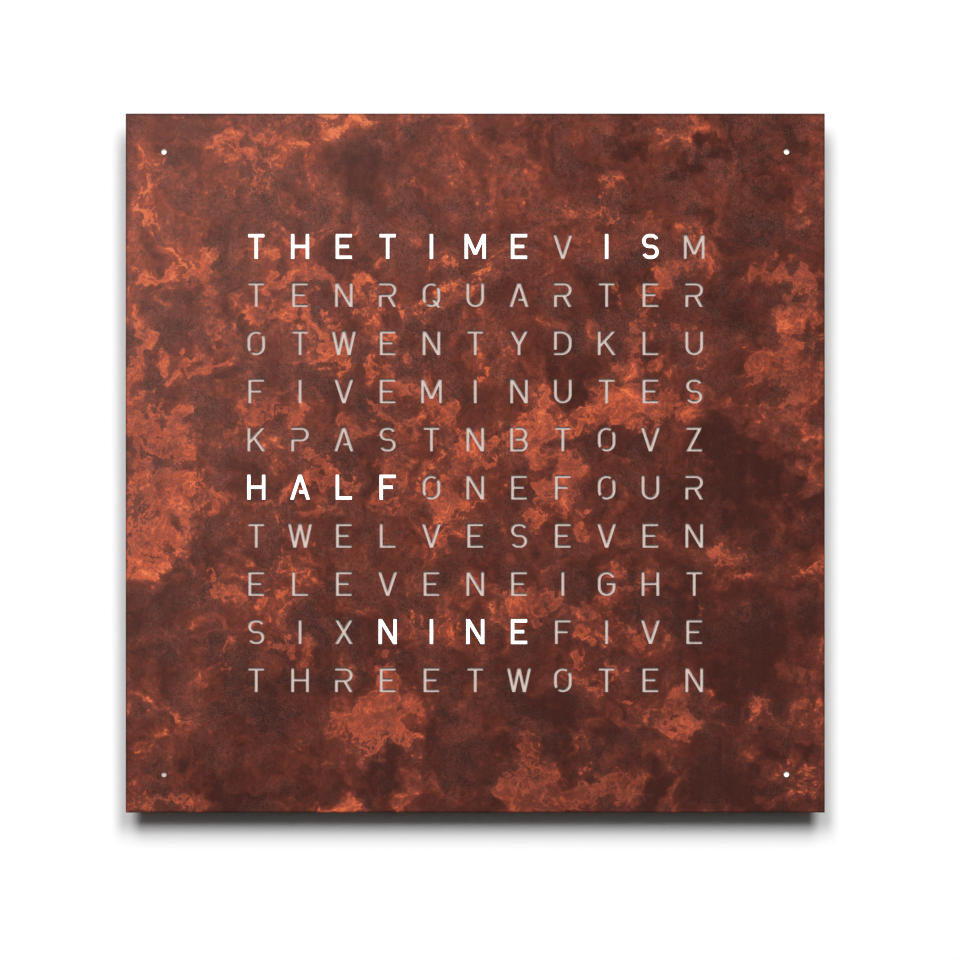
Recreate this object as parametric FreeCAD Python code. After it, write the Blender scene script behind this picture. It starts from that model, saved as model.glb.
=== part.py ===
import FreeCAD, Part

import math
import os

# Word clock for a wall: a pierced steel cover held by magnets on a plastic tray with the light engine inside.
# Millimetres. Origin: centre of the plane that touches the wall. +X right and +Z up as seen from the front,
# +Y into the wall, so the front faces -Y.

Vector = FreeCAD.Vector

# ---------------------------------------------------------------- driving dimensions

# Letter grid. Each row of the matrix is one word of this tuple.
LETTER_ROWS = (
    "THETIMEVISM",
    "TENRQUARTER",
    "OTWENTYDKLU",
    "FIVEMINUTES",
    "KPASTNBTOVZ",
    "HALFONEFOUR",
    "TWELVESEVEN",
    "ELEVENEIGHT",
    "SIXNINEFIVE",
    "THREETWOTEN",
)
COLUMN_PITCH = 28.2
ROW_PITCH = 31.0
LETTER_HEIGHT = 15.8
LETTER_WIDTH = 11.4
NARROW_LETTER_WIDTH = 10.2
M_WIDTH = 13.4
W_WIDTH = 15.6
STROKE = 1.9
BRIDGE = 1.5

# Cover plate. The margins run from the letter grid to the plate's edge.
SIDE_MARGIN = 69.9
TOP_MARGIN = 70.0
PLATE_EDGE_CHAMFER = 0.3
DOT_DIAMETER = 3.5
DOT_INSET = 24.6

# Layers from the wall to the front.
GASKET_THICKNESS = 1.0
BACK_WALL = 2.5
PANEL_GAP = 4.9
BOARD_THICKNESS = 1.6
BAFFLE_DEPTH = 7.2
COVER_GAP = 0.3
DIFFUSER_THICKNESS = 1.0
PLATE_THICKNESS = 1.5

# Rear housing.
COVER_OVERHANG = 10.0
SIDE_WALL = 2.5
HOUSING_CORNER_RADIUS = 6.0
GASKET_WIDTH = 8.0
GASKET_INSET = 2.0
LABEL_RECESS_WIDTH = 110.0
LABEL_RECESS_HEIGHT = 60.0
LABEL_RECESS_DEPTH = 0.4
LABEL_RECESS_CORNER = 4.0

# Light engine.
BOARD_CORNER = 2.0
BAFFLE_WALL = 1.2
PANEL_BORDER = 10.0
LED_SIZE = 5.0
LED_THICKNESS = 1.6
LUG_LENGTH = 8.0
LUG_WIDTH = 10.0
LUG_THICKNESS = 1.5
LUG_SPREAD = 100.0
CENTRE_POST_RADIUS = 4.0
DIFFUSER_BORDER = 5.0
DRIVER_CHIP_WIDTH = 10.3
DRIVER_CHIP_HEIGHT = 7.5
DRIVER_CHIP_THICKNESS = 2.3

# Corner lights.
TUBE_RADIUS = 5.0
TUBE_WALL = 1.2
CORNER_BOARD_HEIGHT = 12.0
DOT_DIFFUSER_RADIUS = 4.5
CORNER_LED_SIZE = 3.5
CORNER_LEAD_DIAMETER = 1.6
CORNER_LEAD_BEND = 8.0

# Cover fastening.
MAGNET_RADIUS = 8.0
MAGNET_THICKNESS = 4.0
MAGNET_PROUD = 1.0
MAGNET_POST_WALL = 2.0
SIDE_MAGNET_SPREAD = 70.0
END_MAGNET_SPREAD = 142.0
PIN_RADIUS = 2.5
PIN_LENGTH = 6.0
PIN_SPREAD = 140.0
PIN_CLEARANCE = 0.15
PIN_SOCKET_WALL = 2.0

# Screws. The thread is drawn as a plain shank that fills its hole but for the clearance.
SCREW_SHANK_RADIUS = 1.45
SCREW_HEAD_RADIUS = 2.8
SCREW_HEAD_HEIGHT = 1.8
SCREW_CLEARANCE = 0.05
SCREW_BITE = 4.0
SCREW_TIP_GAP = 0.3
SCREW_HEAD_GAP = 0.2
SCREW_RECESS_WIDTH = 0.8
SCREW_RECESS_LENGTH = 3.0
SCREW_RECESS_DEPTH = 1.0
POST_WALL = 2.0

# Keyhole hangers.
HANGER_SPREAD = 105.0
HANGER_WIDTH = 42.0
HANGER_HEIGHT = 32.0
HANGER_THICKNESS = 1.5
HANGER_CORNER = 3.0
HANGER_PAD = 3.0
HANGER_SCREW_SPREAD = 15.0
KEYHOLE_HEAD_RADIUS = 4.5
KEYHOLE_SLOT_RADIUS = 2.25
KEYHOLE_RISE = 9.0
KEYHOLE_WINDOW_MARGIN = 1.5

# Controller board and what stands on it. The insets run from the nearer end of the board.
CONTROLLER_WIDTH = 160.0
CONTROLLER_HEIGHT = 34.0
CONTROLLER_WALL_GAP = 4.3
CONTROLLER_SCREW_INSET = 4.0
SOCKET_WIDTH = 9.0
SOCKET_HEIGHT = 10.8
SOCKET_LENGTH = 14.2
SOCKET_RECESS = 0.5
SOCKET_BORE_RADIUS = 3.0
SOCKET_BORE_DEPTH = 10.0
SOCKET_PIN_RADIUS = 1.0
SOCKET_PIN_LENGTH = 9.0
SOCKET_AXIS_HEIGHT = 5.8
SOCKET_NOTCH_CLEARANCE = 0.3
SOCKET_COVER_CLEARANCE = 0.6
MICROCONTROLLER_INSET = 22.0
MICROCONTROLLER_SIZE = 10.0
MICROCONTROLLER_THICKNESS = 1.4
CRYSTAL_INSET = 34.0
CRYSTAL_LENGTH = 11.0
CRYSTAL_RADIUS = 2.3
REGULATOR_X = 17.0
REGULATOR_WIDTH = 6.6
REGULATOR_HEIGHT = 9.6
REGULATOR_THICKNESS = 2.3
CAPACITOR_X = 3.5
CAPACITOR_PITCH = 9.0
CAPACITOR_RADIUS = 4.0
CAPACITOR_HEIGHT = 9.0
CHIP_RISE = 3.0
CELL_INSET = 24.0
CELL_RADIUS = 10.0
CELL_THICKNESS = 3.2
CELL_CLEARANCE = 0.1
CELL_HOLDER_WALL = 1.6
CELL_HOLDER_BASE = 1.2
CELL_HOLDER_LIP = 0.8

# Buttons.
BUTTON_PITCH = 14.0
BUTTON_INSET = 14.0
BUTTON_RADIUS = 1.75
BUTTON_HOLE_RADIUS = 2.15
BUTTON_PROUD = 1.2
BUTTON_TRAVEL = 0.5
BUTTON_COLLAR_RADIUS = 2.2
BUTTON_COLLAR_THICKNESS = 0.8
BUTTON_CLEARANCE = 0.1
SWITCH_WIDTH = 7.2
SWITCH_HEIGHT = 7.2
SWITCH_DEPTH = 4.6
SWITCH_FRONT_WALL = 0.8
SWITCH_DOME_SPARE = 0.4
SWITCH_DOME_RADIUS = 1.9
SWITCH_DOME_WALL = 0.15

# Light sensor.
SENSOR_X = 24.0
SENSOR_RADIUS = 1.5
SENSOR_LENGTH = 4.5
SENSOR_WINDOW_RADIUS = 2.0
SENSOR_WINDOW_FLANGE_RADIUS = 3.0
SENSOR_WINDOW_FLANGE = 1.0
SENSOR_WINDOW_CLEARANCE = 0.05

# Ribbon between controller and matrix board.
RIBBON_X = -20.0
RIBBON_WIDTH = 20.0
RIBBON_THICKNESS = 0.9
RIBBON_BEND = 2.0
HEADER_WIDTH = 23.0
HEADER_HEIGHT = 6.4
PANEL_HEADER_DEPTH = 3.0
CONTROLLER_HEADER_DEPTH = 4.0
PLUG_DEPTH = 2.6

# Radio time receiver.
RADIO_BOARD_WIDTH = 34.0
RADIO_BOARD_HEIGHT = 24.0
RADIO_BOARD_X = 24.0
RADIO_STANDOFF = 3.0
RADIO_SCREW_INSET = 3.5
RADIO_CHIP_SIZE = 5.0
RADIO_CHIP_THICKNESS = 1.2
ROD_RADIUS = 4.0
ROD_LENGTH = 60.0
ROD_X = -40.0
ROD_CLEARANCE = 0.05
COIL_RADIUS = 5.6
COIL_LENGTH = 22.0
CLIP_WIDTH = 5.0
CLIP_HEIGHT = 12.0
CLIP_INSET = 6.0
CLIP_FLOOR_GAP = 2.4
ANTENNA_WIRE_DIAMETER = 0.6
ANTENNA_WIRE_REACH = 3.0
ANTENNA_WIRE_BEND = 1.2
LEAD_X = 33.0
LEAD_DIAMETER = 2.4
LEAD_BEND = 3.6
LEAD_STRAIGHT = 2.5
LEAD_DROP = 6.5
CONNECTOR_WIDTH = 8.0
CONNECTOR_HEIGHT = 5.0
CONNECTOR_DEPTH = 5.0

# ---------------------------------------------------------------- dimensions that follow

COLUMNS = len(LETTER_ROWS[0])
ROWS = len(LETTER_ROWS)
GRID_HALF_WIDTH = COLUMNS * COLUMN_PITCH / 2
GRID_HALF_HEIGHT = ROWS * ROW_PITCH / 2
PLATE_HALF_WIDTH = GRID_HALF_WIDTH + SIDE_MARGIN
PLATE_HALF_HEIGHT = GRID_HALF_HEIGHT + TOP_MARGIN
HOUSING_HALF_WIDTH = PLATE_HALF_WIDTH - COVER_OVERHANG
HOUSING_HALF_HEIGHT = PLATE_HALF_HEIGHT - COVER_OVERHANG
INNER_HALF_WIDTH = HOUSING_HALF_WIDTH - SIDE_WALL
INNER_HALF_HEIGHT = HOUSING_HALF_HEIGHT - SIDE_WALL
PANEL_HALF_WIDTH = GRID_HALF_WIDTH + PANEL_BORDER
PANEL_HALF_HEIGHT = GRID_HALF_HEIGHT + PANEL_BORDER
SIDE_BAND_X = (PANEL_HALF_WIDTH + INNER_HALF_WIDTH) / 2
END_BAND_Z = (PANEL_HALF_HEIGHT + INNER_HALF_HEIGHT) / 2
DRIVER_CHIP_X = GRID_HALF_WIDTH / 2
DRIVER_CHIP_Z = ROW_PITCH * 3 / 2
DOT_X = PLATE_HALF_WIDTH - DOT_INSET
DOT_Z = PLATE_HALF_HEIGHT - DOT_INSET

# Planes across the depth, from the wall at y = 0 forwards.
HOUSING_BACK = -GASKET_THICKNESS
FLOOR = HOUSING_BACK - BACK_WALL
PANEL_BACK = FLOOR - PANEL_GAP
PANEL_FRONT = PANEL_BACK - BOARD_THICKNESS
BAFFLE_FRONT = PANEL_FRONT - BAFFLE_DEPTH
DIFFUSER_BACK = BAFFLE_FRONT - COVER_GAP
PLATE_BACK = DIFFUSER_BACK - DIFFUSER_THICKNESS
PLATE_FRONT = PLATE_BACK - PLATE_THICKNESS
RIM = PLATE_BACK + COVER_GAP
POST_FRONT = PLATE_BACK + MAGNET_PROUD
MAGNET_BACK = PLATE_BACK + MAGNET_THICKNESS
LUG_FRONT = PANEL_FRONT - LUG_THICKNESS
LUG_X = GRID_HALF_WIDTH + BAFFLE_WALL / 2 + LUG_LENGTH / 2
LUG_Z = GRID_HALF_HEIGHT + BAFFLE_WALL / 2 + LUG_LENGTH / 2
SCREW_HOLE_RADIUS = SCREW_SHANK_RADIUS + SCREW_CLEARANCE
POST_RADIUS = SCREW_HOLE_RADIUS + POST_WALL
CORNER_SCREW_REACH = TUBE_RADIUS + SCREW_HEAD_GAP + SCREW_HEAD_RADIUS
CORNER_BOARD_WIDTH = 2 * (CORNER_SCREW_REACH + SCREW_HEAD_RADIUS + SCREW_HEAD_GAP)
SWITCH_DOME_HEIGHT = BUTTON_TRAVEL + SWITCH_DOME_SPARE

CONTROLLER_FRONT = PLATE_BACK + SOCKET_COVER_CLEARANCE + SOCKET_HEIGHT
CONTROLLER_BACK = CONTROLLER_FRONT + BOARD_THICKNESS
CONTROLLER_BOTTOM = -INNER_HALF_HEIGHT + CONTROLLER_WALL_GAP
CONTROLLER_TOP = CONTROLLER_BOTTOM + CONTROLLER_HEIGHT
CONTROLLER_Z = (CONTROLLER_BOTTOM + CONTROLLER_TOP) / 2
SWITCH_AXIS = CONTROLLER_FRONT - SWITCH_HEIGHT / 2
SOCKET_AXIS = CONTROLLER_FRONT - SOCKET_AXIS_HEIGHT
SOCKET_FACE = -HOUSING_HALF_HEIGHT + SOCKET_RECESS
RADIO_BACK = FLOOR - RADIO_STANDOFF
RADIO_FRONT = RADIO_BACK - BOARD_THICKNESS
HANGER_BACK = FLOOR - HANGER_PAD
HANGER_FRONT = HANGER_BACK - HANGER_THICKNESS
BUTTON_NAMES = ("hour", "minute", "mode", "brightness")
BUTTON_XS = [BUTTON_INSET - CONTROLLER_WIDTH / 2 + BUTTON_PITCH * place for place in range(4)]
MICROCONTROLLER_X = MICROCONTROLLER_INSET - CONTROLLER_WIDTH / 2
CRYSTAL_X = CRYSTAL_INSET - CONTROLLER_WIDTH / 2
CELL_X = CONTROLLER_WIDTH / 2 - CELL_INSET
CORNERS = [(side, end) for side in (-1, 1) for end in (-1, 1)]

# ---------------------------------------------------------------- shapes that repeat


def block(x, z, width, height, back, front):
    """Box centred on x and z, from the plane y = back forwards to y = front."""
    return Part.makeBox(width, back - front, height, Vector(x - width / 2, front, z - height / 2))


def disc(x, z, radius, back, front):
    """Cylinder across the depth, from the plane y = back forwards to y = front."""
    return Part.makeCylinder(radius, back - front, Vector(x, front, z), Vector(0, 1, 0))


def upright(x, y, radius, bottom, top):
    """Cylinder along Z."""
    return Part.makeCylinder(radius, top - bottom, Vector(x, y, bottom), Vector(0, 0, 1))


def rounded_outline(x, z, width, height, radius, y):
    """Closed outline of a rectangle with round corners in the plane y."""
    edges = []
    corners = [(1, 1, 0), (-1, 1, 90), (-1, -1, 180), (1, -1, 270)]
    arcs = []
    for side, end, start in corners:
        centre_x = x + side * (width / 2 - radius)
        centre_z = z + end * (height / 2 - radius)
        points = []
        for angle in (start, start + 45, start + 90):
            reach_x = radius * math.cos(math.radians(angle))
            reach_z = radius * math.sin(math.radians(angle))
            points.append(Vector(centre_x + reach_x, y, centre_z + reach_z))
        arcs.append(points)
    for place, points in enumerate(arcs):
        edges.append(Part.Arc(*points).toShape())
        edges.append(Part.makeLine(points[2], arcs[(place + 1) % 4][0]))
    return Part.Wire(edges)


def rounded_block(x, z, width, height, radius, back, front):
    """Block with its four edges along Y rounded."""
    outline = rounded_outline(x, z, width, height, radius, front)
    return Part.Face(outline).extrude(Vector(0, back - front, 0))


def rectangle_outline(x, z, width, height, y):
    left, right, low, high = x - width / 2, x + width / 2, z - height / 2, z + height / 2
    corners = [(left, low), (right, low), (right, high), (left, high), (left, low)]
    return Part.makePolygon([Vector(corner_x, y, corner_z) for corner_x, corner_z in corners])


def pierced_sheet(outline, holes, thickness):
    """Sheet with many holes, from closed outlines in one plane, thickened towards +Y."""
    face = Part.makeFace([outline] + holes, "Part::FaceMakerBullseye")
    return face.extrude(Vector(0, thickness, 0))


def screw(x, z, seat, reach):
    """Pan-head screw with a cross recess: head in front of the plane y = seat, shank back to y = reach."""
    head = disc(x, z, SCREW_HEAD_RADIUS, seat, seat - SCREW_HEAD_HEIGHT)
    top = seat - SCREW_HEAD_HEIGHT
    across = block(x, z, SCREW_RECESS_LENGTH, SCREW_RECESS_WIDTH, top + SCREW_RECESS_DEPTH, top)
    upwards = block(x, z, SCREW_RECESS_WIDTH, SCREW_RECESS_LENGTH, top + SCREW_RECESS_DEPTH, top)
    return head.fuse(disc(x, z, SCREW_SHANK_RADIUS, reach, seat)).cut([across, upwards])


def screw_holes(places, back, front):
    """Round holes for the shanks of screws at these places."""
    return [disc(x, z, SCREW_HOLE_RADIUS, back, front) for x, z in places]


def bent_path(points, bend):
    """Path of straight runs joined by tangent arcs of one radius."""
    edges = []
    start = points[0]
    for corner, after in zip(points[1:-1], points[2:]):
        incoming = (corner - start).normalize()
        outgoing = (after - corner).normalize()
        half_turn = incoming.getAngle(outgoing) / 2
        setback = bend * math.tan(half_turn)
        inwards = (outgoing - incoming).normalize()
        arc_start = corner - incoming * setback
        arc_middle = corner + inwards * (bend / math.cos(half_turn) - bend)
        arc_end = corner + outgoing * setback
        edges.append(Part.makeLine(start, arc_start))
        edges.append(Part.Arc(arc_start, arc_middle, arc_end).toShape())
        start = arc_end
    edges.append(Part.makeLine(start, points[-1]))
    return Part.Wire(edges)


def tube(points, diameter, bend):
    """Round lead along a bent path."""
    direction = (points[1] - points[0]).normalize()
    section = Part.Wire(Part.makeCircle(diameter / 2, points[0], direction))
    return bent_path(points, bend).makePipeShell([section], True, True)


def write(name, solids):
    """Writes one node. A group of identical pieces is a compound of separate solids."""
    shape = solids if isinstance(solids, Part.Shape) else Part.makeCompound(solids)
    shape.exportStep(os.path.join("parts", name + ".step"))


# ---------------------------------------------------------------- stencil letters
# Letters are faces in the plane y = 0, centred on the origin, and made of strokes of one width. Bridges keep
# every letter free of islands, so that nothing falls out of the plate.

TOP = LETTER_HEIGHT / 2 - STROKE / 2
MIDDLE = 0.0
BOTTOM = -TOP
HALF_STROKE = STROKE / 2
TOUCH = 0.001


def polygon(points):
    """Flat face with straight sides."""
    return Part.Face(Part.makePolygon([Vector(x, 0, z) for x, z in points + points[:1]]))


def bar(z, left, right):
    """Level stroke along the centre line z."""
    low, high = z - HALF_STROKE, z + HALF_STROKE
    return polygon([(left, low), (right, low), (right, high), (left, high)])


def stem(x, low, high):
    """Upright stroke along the centre line x."""
    left, right = x - HALF_STROKE, x + HALF_STROKE
    return polygon([(left, low), (right, low), (right, high), (left, high)])


def full_stem(x):
    """Upright stroke over the whole height of the letter."""
    return stem(x, -LETTER_HEIGHT / 2, LETTER_HEIGHT / 2)


def slant(low_x, high_x, low=-LETTER_HEIGHT / 2, high=LETTER_HEIGHT / 2):
    """Sloping stroke with level ends, from low_x at the bottom to high_x at the top."""
    half = HALF_STROKE * math.hypot(high_x - low_x, high - low) / (high - low)
    return polygon([(low_x - half, low), (low_x + half, low), (high_x + half, high), (high_x - half, high)])


def bow(x, z, radius, start, end):
    """Curved stroke on a circle, between two angles in degrees."""
    def at(reach, angle):
        return Vector(x + reach * math.cos(math.radians(angle)), 0, z + reach * math.sin(math.radians(angle)))

    middle = (start + end) / 2
    outer, inner = radius + HALF_STROKE, radius - HALF_STROKE
    edges = [
        Part.Arc(at(outer, start), at(outer, middle), at(outer, end)).toShape(),
        Part.makeLine(at(outer, end), at(inner, end)),
        Part.Arc(at(inner, end), at(inner, middle), at(inner, start)).toShape(),
        Part.makeLine(at(inner, start), at(outer, start)),
    ]
    return Part.Face(Part.Wire(edges))


def edge(width):
    """Centre line of the outermost upright stroke of a letter of this width."""
    return width / 2 - HALF_STROKE


def bowl(left, right, low, high):
    """Two level strokes closed by a half circle on the right, between the centre lines low and high."""
    radius = (high - low) / 2
    centre = right - radius
    return [bar(high, left, centre), bar(low, left, centre), bow(centre, low + radius, radius, -90, 90)]


def ring():
    """Upright ring with two bridges on its rising diagonal, as in O and Q."""
    side = edge(LETTER_WIDTH)
    straight = TOP - side
    cut = math.degrees(BRIDGE / side) / 2
    return [
        bow(0, straight, side, 45 + cut, 180),
        stem(-side, -straight, straight),
        bow(0, -straight, side, 180, 225 - cut),
        bow(0, -straight, side, 225 + cut, 360),
        stem(side, -straight, straight),
        bow(0, straight, side, 0, 45 - cut),
    ]


def letter_a():
    foot = edge(LETTER_WIDTH + HALF_STROKE)
    bar_z = BOTTOM + LETTER_HEIGHT / 4
    return [slant(-foot, 0), slant(foot, 0), bar(bar_z, -HALF_STROKE / 2, foot * 0.6)]


def letter_b():
    side = edge(LETTER_WIDTH)
    start = -side + HALF_STROKE + BRIDGE
    upper = bowl(start, side - HALF_STROKE / 3, MIDDLE, TOP)
    lower = bowl(-side, side, BOTTOM, MIDDLE)
    lower[0] = bar(MIDDLE, start, side - (MIDDLE - BOTTOM) / 2)
    return upper + lower + [full_stem(-side)]


def letter_d():
    side = edge(LETTER_WIDTH)
    centre = -HALF_STROKE
    radius = side - centre
    return [
        bar(TOP, -side, centre), bow(centre, TOP - radius, radius, 0, 90),
        stem(side, BOTTOM + radius, TOP - radius), bow(centre, BOTTOM + radius, radius, -90, 0),
        bar(BOTTOM, -side - HALF_STROKE, centre),
        stem(-side, BOTTOM + HALF_STROKE + BRIDGE, LETTER_HEIGHT / 2),
    ]


def letter_e():
    side = edge(NARROW_LETTER_WIDTH)
    return letter_f() + [bar(BOTTOM, -side, side + HALF_STROKE)]


def letter_f():
    side = edge(NARROW_LETTER_WIDTH)
    return [full_stem(-side), bar(TOP, -side, side + HALF_STROKE), bar(MIDDLE, -side, side - HALF_STROKE)]


def letter_g():
    side = edge(LETTER_WIDTH)
    straight = TOP - side
    return [
        bow(0, straight, side, 22, 180), stem(-side, -straight, straight), bow(0, -straight, side, 180, 360),
        stem(side, -straight, HALF_STROKE), bar(MIDDLE, 0, side),
    ]


def letter_h():
    side = edge(LETTER_WIDTH)
    return [full_stem(-side), full_stem(side), bar(MIDDLE, -side, side)]


def letter_i():
    return [full_stem(0)]


def letter_k():
    side = edge(LETTER_WIDTH)
    return [
        full_stem(-side), slant(-side, side, BOTTOM / 3, LETTER_HEIGHT / 2),
        slant(side + HALF_STROKE / 4, -side / 3, -LETTER_HEIGHT / 2, TOP / 5),
    ]


def letter_l():
    side = edge(NARROW_LETTER_WIDTH)
    return [full_stem(-side), bar(BOTTOM, -side, side + HALF_STROKE)]


def letter_m():
    side = edge(M_WIDTH)
    dip = BOTTOM + STROKE
    high = LETTER_HEIGHT / 2
    return [full_stem(-side), full_stem(side), slant(0, -side, dip, high), slant(0, side, dip, high)]


def letter_n():
    side = edge(LETTER_WIDTH)
    return [full_stem(-side), full_stem(side), slant(side, -side)]


def letter_o():
    return ring()


def letter_p():
    side = edge(LETTER_WIDTH)
    fold = MIDDLE - HALF_STROKE / 2
    return bowl(-side - HALF_STROKE, side, fold, TOP) + [stem(-side, -LETTER_HEIGHT / 2, fold + HALF_STROKE)]


def letter_q():
    side = edge(LETTER_WIDTH)
    low = -LETTER_HEIGHT / 2 - HALF_STROKE / 2
    return ring() + [slant(side + HALF_STROKE / 2, side / 5, low, BOTTOM * 0.4)]


def letter_r():
    side = edge(LETTER_WIDTH)
    return letter_p() + [slant(side, HALF_STROKE / 2, -LETTER_HEIGHT / 2, MIDDLE - HALF_STROKE / 2)]


def letter_s():
    radius = (TOP - MIDDLE) / 2
    centre = edge(LETTER_WIDTH - HALF_STROKE) - radius
    return [
        bow(-centre, TOP - radius, radius, 90, 270), bar(TOP, -centre, centre),
        bow(centre, TOP - radius, radius, 25, 90), bar(MIDDLE, -centre, centre),
        bow(centre, BOTTOM + radius, radius, -90, 90), bar(BOTTOM, -centre, centre),
        bow(-centre, BOTTOM + radius, radius, 205, 270),
    ]


def letter_t():
    return [bar(TOP, -NARROW_LETTER_WIDTH / 2, NARROW_LETTER_WIDTH / 2), full_stem(0)]


def letter_u():
    side = edge(LETTER_WIDTH)
    return [
        stem(-side, BOTTOM + side, LETTER_HEIGHT / 2), stem(side, BOTTOM + side, LETTER_HEIGHT / 2),
        bow(0, BOTTOM + side, side, 180, 360),
    ]


def letter_v():
    side = edge(LETTER_WIDTH + HALF_STROKE)
    return [slant(0, -side), slant(0, side)]


def letter_w():
    side = edge(W_WIDTH)
    return [slant(-side / 2, -side), slant(-side / 2, 0), slant(side / 2, 0), slant(side / 2, side)]


def letter_x():
    side = edge(LETTER_WIDTH)
    return [slant(-side, side), slant(side, -side)]


def letter_y():
    side = edge(LETTER_WIDTH)
    fork = MIDDLE - HALF_STROKE
    return [stem(0, -LETTER_HEIGHT / 2, fork + HALF_STROKE), slant(0, -side, fork), slant(0, side, fork)]


def letter_z():
    side = edge(NARROW_LETTER_WIDTH)
    return [
        bar(TOP, -side - HALF_STROKE, side), bar(BOTTOM, -side, side + HALF_STROKE), slant(-side, side),
    ]


LETTERS = {
    "A": letter_a, "B": letter_b, "D": letter_d, "E": letter_e, "F": letter_f, "G": letter_g, "H": letter_h,
    "I": letter_i, "K": letter_k, "L": letter_l, "M": letter_m, "N": letter_n, "O": letter_o, "P": letter_p,
    "Q": letter_q, "R": letter_r, "S": letter_s, "T": letter_t, "U": letter_u, "V": letter_v, "W": letter_w,
    "X": letter_x, "Y": letter_y, "Z": letter_z,
}


def letter_outlines(letter):
    """Outlines of one letter's openings, one for each group of strokes that touch."""
    prisms = [stroke.extrude(Vector(0, PLATE_THICKNESS, 0)) for stroke in LETTERS[letter]()]
    joined = prisms[0].fuse(prisms[1:]).removeSplitter() if len(prisms) > 1 else prisms[0]
    return [face.OuterWire for face in joined.Faces if face.BoundBox.YMax < TOUCH]


def letter_places():
    """Letter with its centre, row by row from the top left."""
    for row, letters in enumerate(LETTER_ROWS):
        for column, letter in enumerate(letters):
            x = (column - (COLUMNS - 1) / 2) * COLUMN_PITCH
            z = ((ROWS - 1) / 2 - row) * ROW_PITCH
            yield letter, x, z


# ---------------------------------------------------------------- front cover


def front_plate():
    outlines = {letter: letter_outlines(letter) for letter in LETTERS}
    holes = []
    for letter, x, z in letter_places():
        for outline in outlines[letter]:
            holes.append(outline.translated(Vector(x, PLATE_FRONT, z)))
    for side, end in CORNERS:
        centre = Vector(side * DOT_X, PLATE_FRONT, end * DOT_Z)
        holes.append(Part.Wire(Part.makeCircle(DOT_DIAMETER / 2, centre, Vector(0, 1, 0))))
    outline = rectangle_outline(0, 0, 2 * PLATE_HALF_WIDTH, 2 * PLATE_HALF_HEIGHT, PLATE_FRONT)
    plate = pierced_sheet(outline, holes, PLATE_THICKNESS)
    shortest = 2 * min(PLATE_HALF_WIDTH, PLATE_HALF_HEIGHT) - TOUCH
    long_edges = [side for side in plate.Edges if side.Length > shortest]
    rim = [side for side in long_edges if side.CenterOfMass.y < PLATE_FRONT + TOUCH]
    return plate.makeChamfer(PLATE_EDGE_CHAMFER, rim)


def letter_diffuser():
    width = 2 * (GRID_HALF_WIDTH + DIFFUSER_BORDER)
    height = 2 * (GRID_HALF_HEIGHT + DIFFUSER_BORDER)
    return rounded_block(0, 0, width, height, DIFFUSER_BORDER / 2, DIFFUSER_BACK, PLATE_BACK)


def minute_dot_diffusers():
    radius = DOT_DIFFUSER_RADIUS
    return [disc(side * DOT_X, end * DOT_Z, radius, DIFFUSER_BACK, PLATE_BACK) for side, end in CORNERS]


def pin_places():
    return [(side * SIDE_BAND_X, end * PIN_SPREAD) for side, end in CORNERS]


def cover_locating_pins():
    pins = []
    for x, z in pin_places():
        shoulder = PLATE_BACK + PIN_LENGTH - PIN_RADIUS / 2
        shaft = disc(x, z, PIN_RADIUS, shoulder, PLATE_BACK)
        tip_radius = PIN_RADIUS / 2
        nose = Part.makeCone(PIN_RADIUS, tip_radius, tip_radius, Vector(x, shoulder, z), Vector(0, 1, 0))
        pins.append(shaft.fuse(nose))
    return pins


# ---------------------------------------------------------------- places that several pieces share


def magnet_places():
    sides = [(side * SIDE_BAND_X, end * SIDE_MAGNET_SPREAD) for side, end in CORNERS]
    ends = [(side * END_MAGNET_SPREAD, end * END_BAND_Z) for side, end in CORNERS]
    return sides + ends


def panel_screw_places():
    sides = [(side * LUG_X, end * LUG_SPREAD) for side, end in CORNERS]
    ends = [(side * LUG_SPREAD, end * LUG_Z) for side, end in CORNERS]
    return sides + ends


def corner_screw_places():
    steps = (-CORNER_SCREW_REACH, CORNER_SCREW_REACH)
    return [(side * DOT_X + step, end * DOT_Z) for side, end in CORNERS for step in steps]


def controller_screw_places():
    reach_x = CONTROLLER_WIDTH / 2 - CONTROLLER_SCREW_INSET
    reach_z = CONTROLLER_HEIGHT / 2 - CONTROLLER_SCREW_INSET
    return [(side * reach_x, CONTROLLER_Z + end * reach_z) for side, end in CORNERS]


def radio_screw_places():
    reach_x = RADIO_BOARD_WIDTH / 2 - RADIO_SCREW_INSET
    reach_z = RADIO_BOARD_HEIGHT / 2 - RADIO_SCREW_INSET
    return [(RADIO_BOARD_X + side * reach_x, END_BAND_Z + side * reach_z) for side in (-1, 1)]


def hanger_places():
    return [(side * HANGER_SPREAD, END_BAND_Z) for side in (-1, 1)]


def hanger_screw_places():
    return [(x + side * HANGER_SCREW_SPREAD, z) for x, z in hanger_places() for side in (-1, 1)]


def keyhole_low(z):
    """Centre of the keyhole's round end. The slot rises from it."""
    return z - KEYHOLE_RISE / 2


# ---------------------------------------------------------------- rear housing


def post(x, z, front):
    """Screw post on the floor of the tray, without its hole."""
    return disc(x, z, POST_RADIUS, FLOOR, front)


def post_hole(x, z, front):
    """Blind hole for a screw, a little deeper than the screw's bite and never through the back."""
    return disc(x, z, SCREW_HOLE_RADIUS, min(front + SCREW_BITE, FLOOR + BACK_WALL / 2), front)


def screw_reach(front):
    """Plane of the tip of a screw that bites into a post whose front is here."""
    return min(front + SCREW_BITE, FLOOR + BACK_WALL / 2) - SCREW_TIP_GAP


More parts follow.
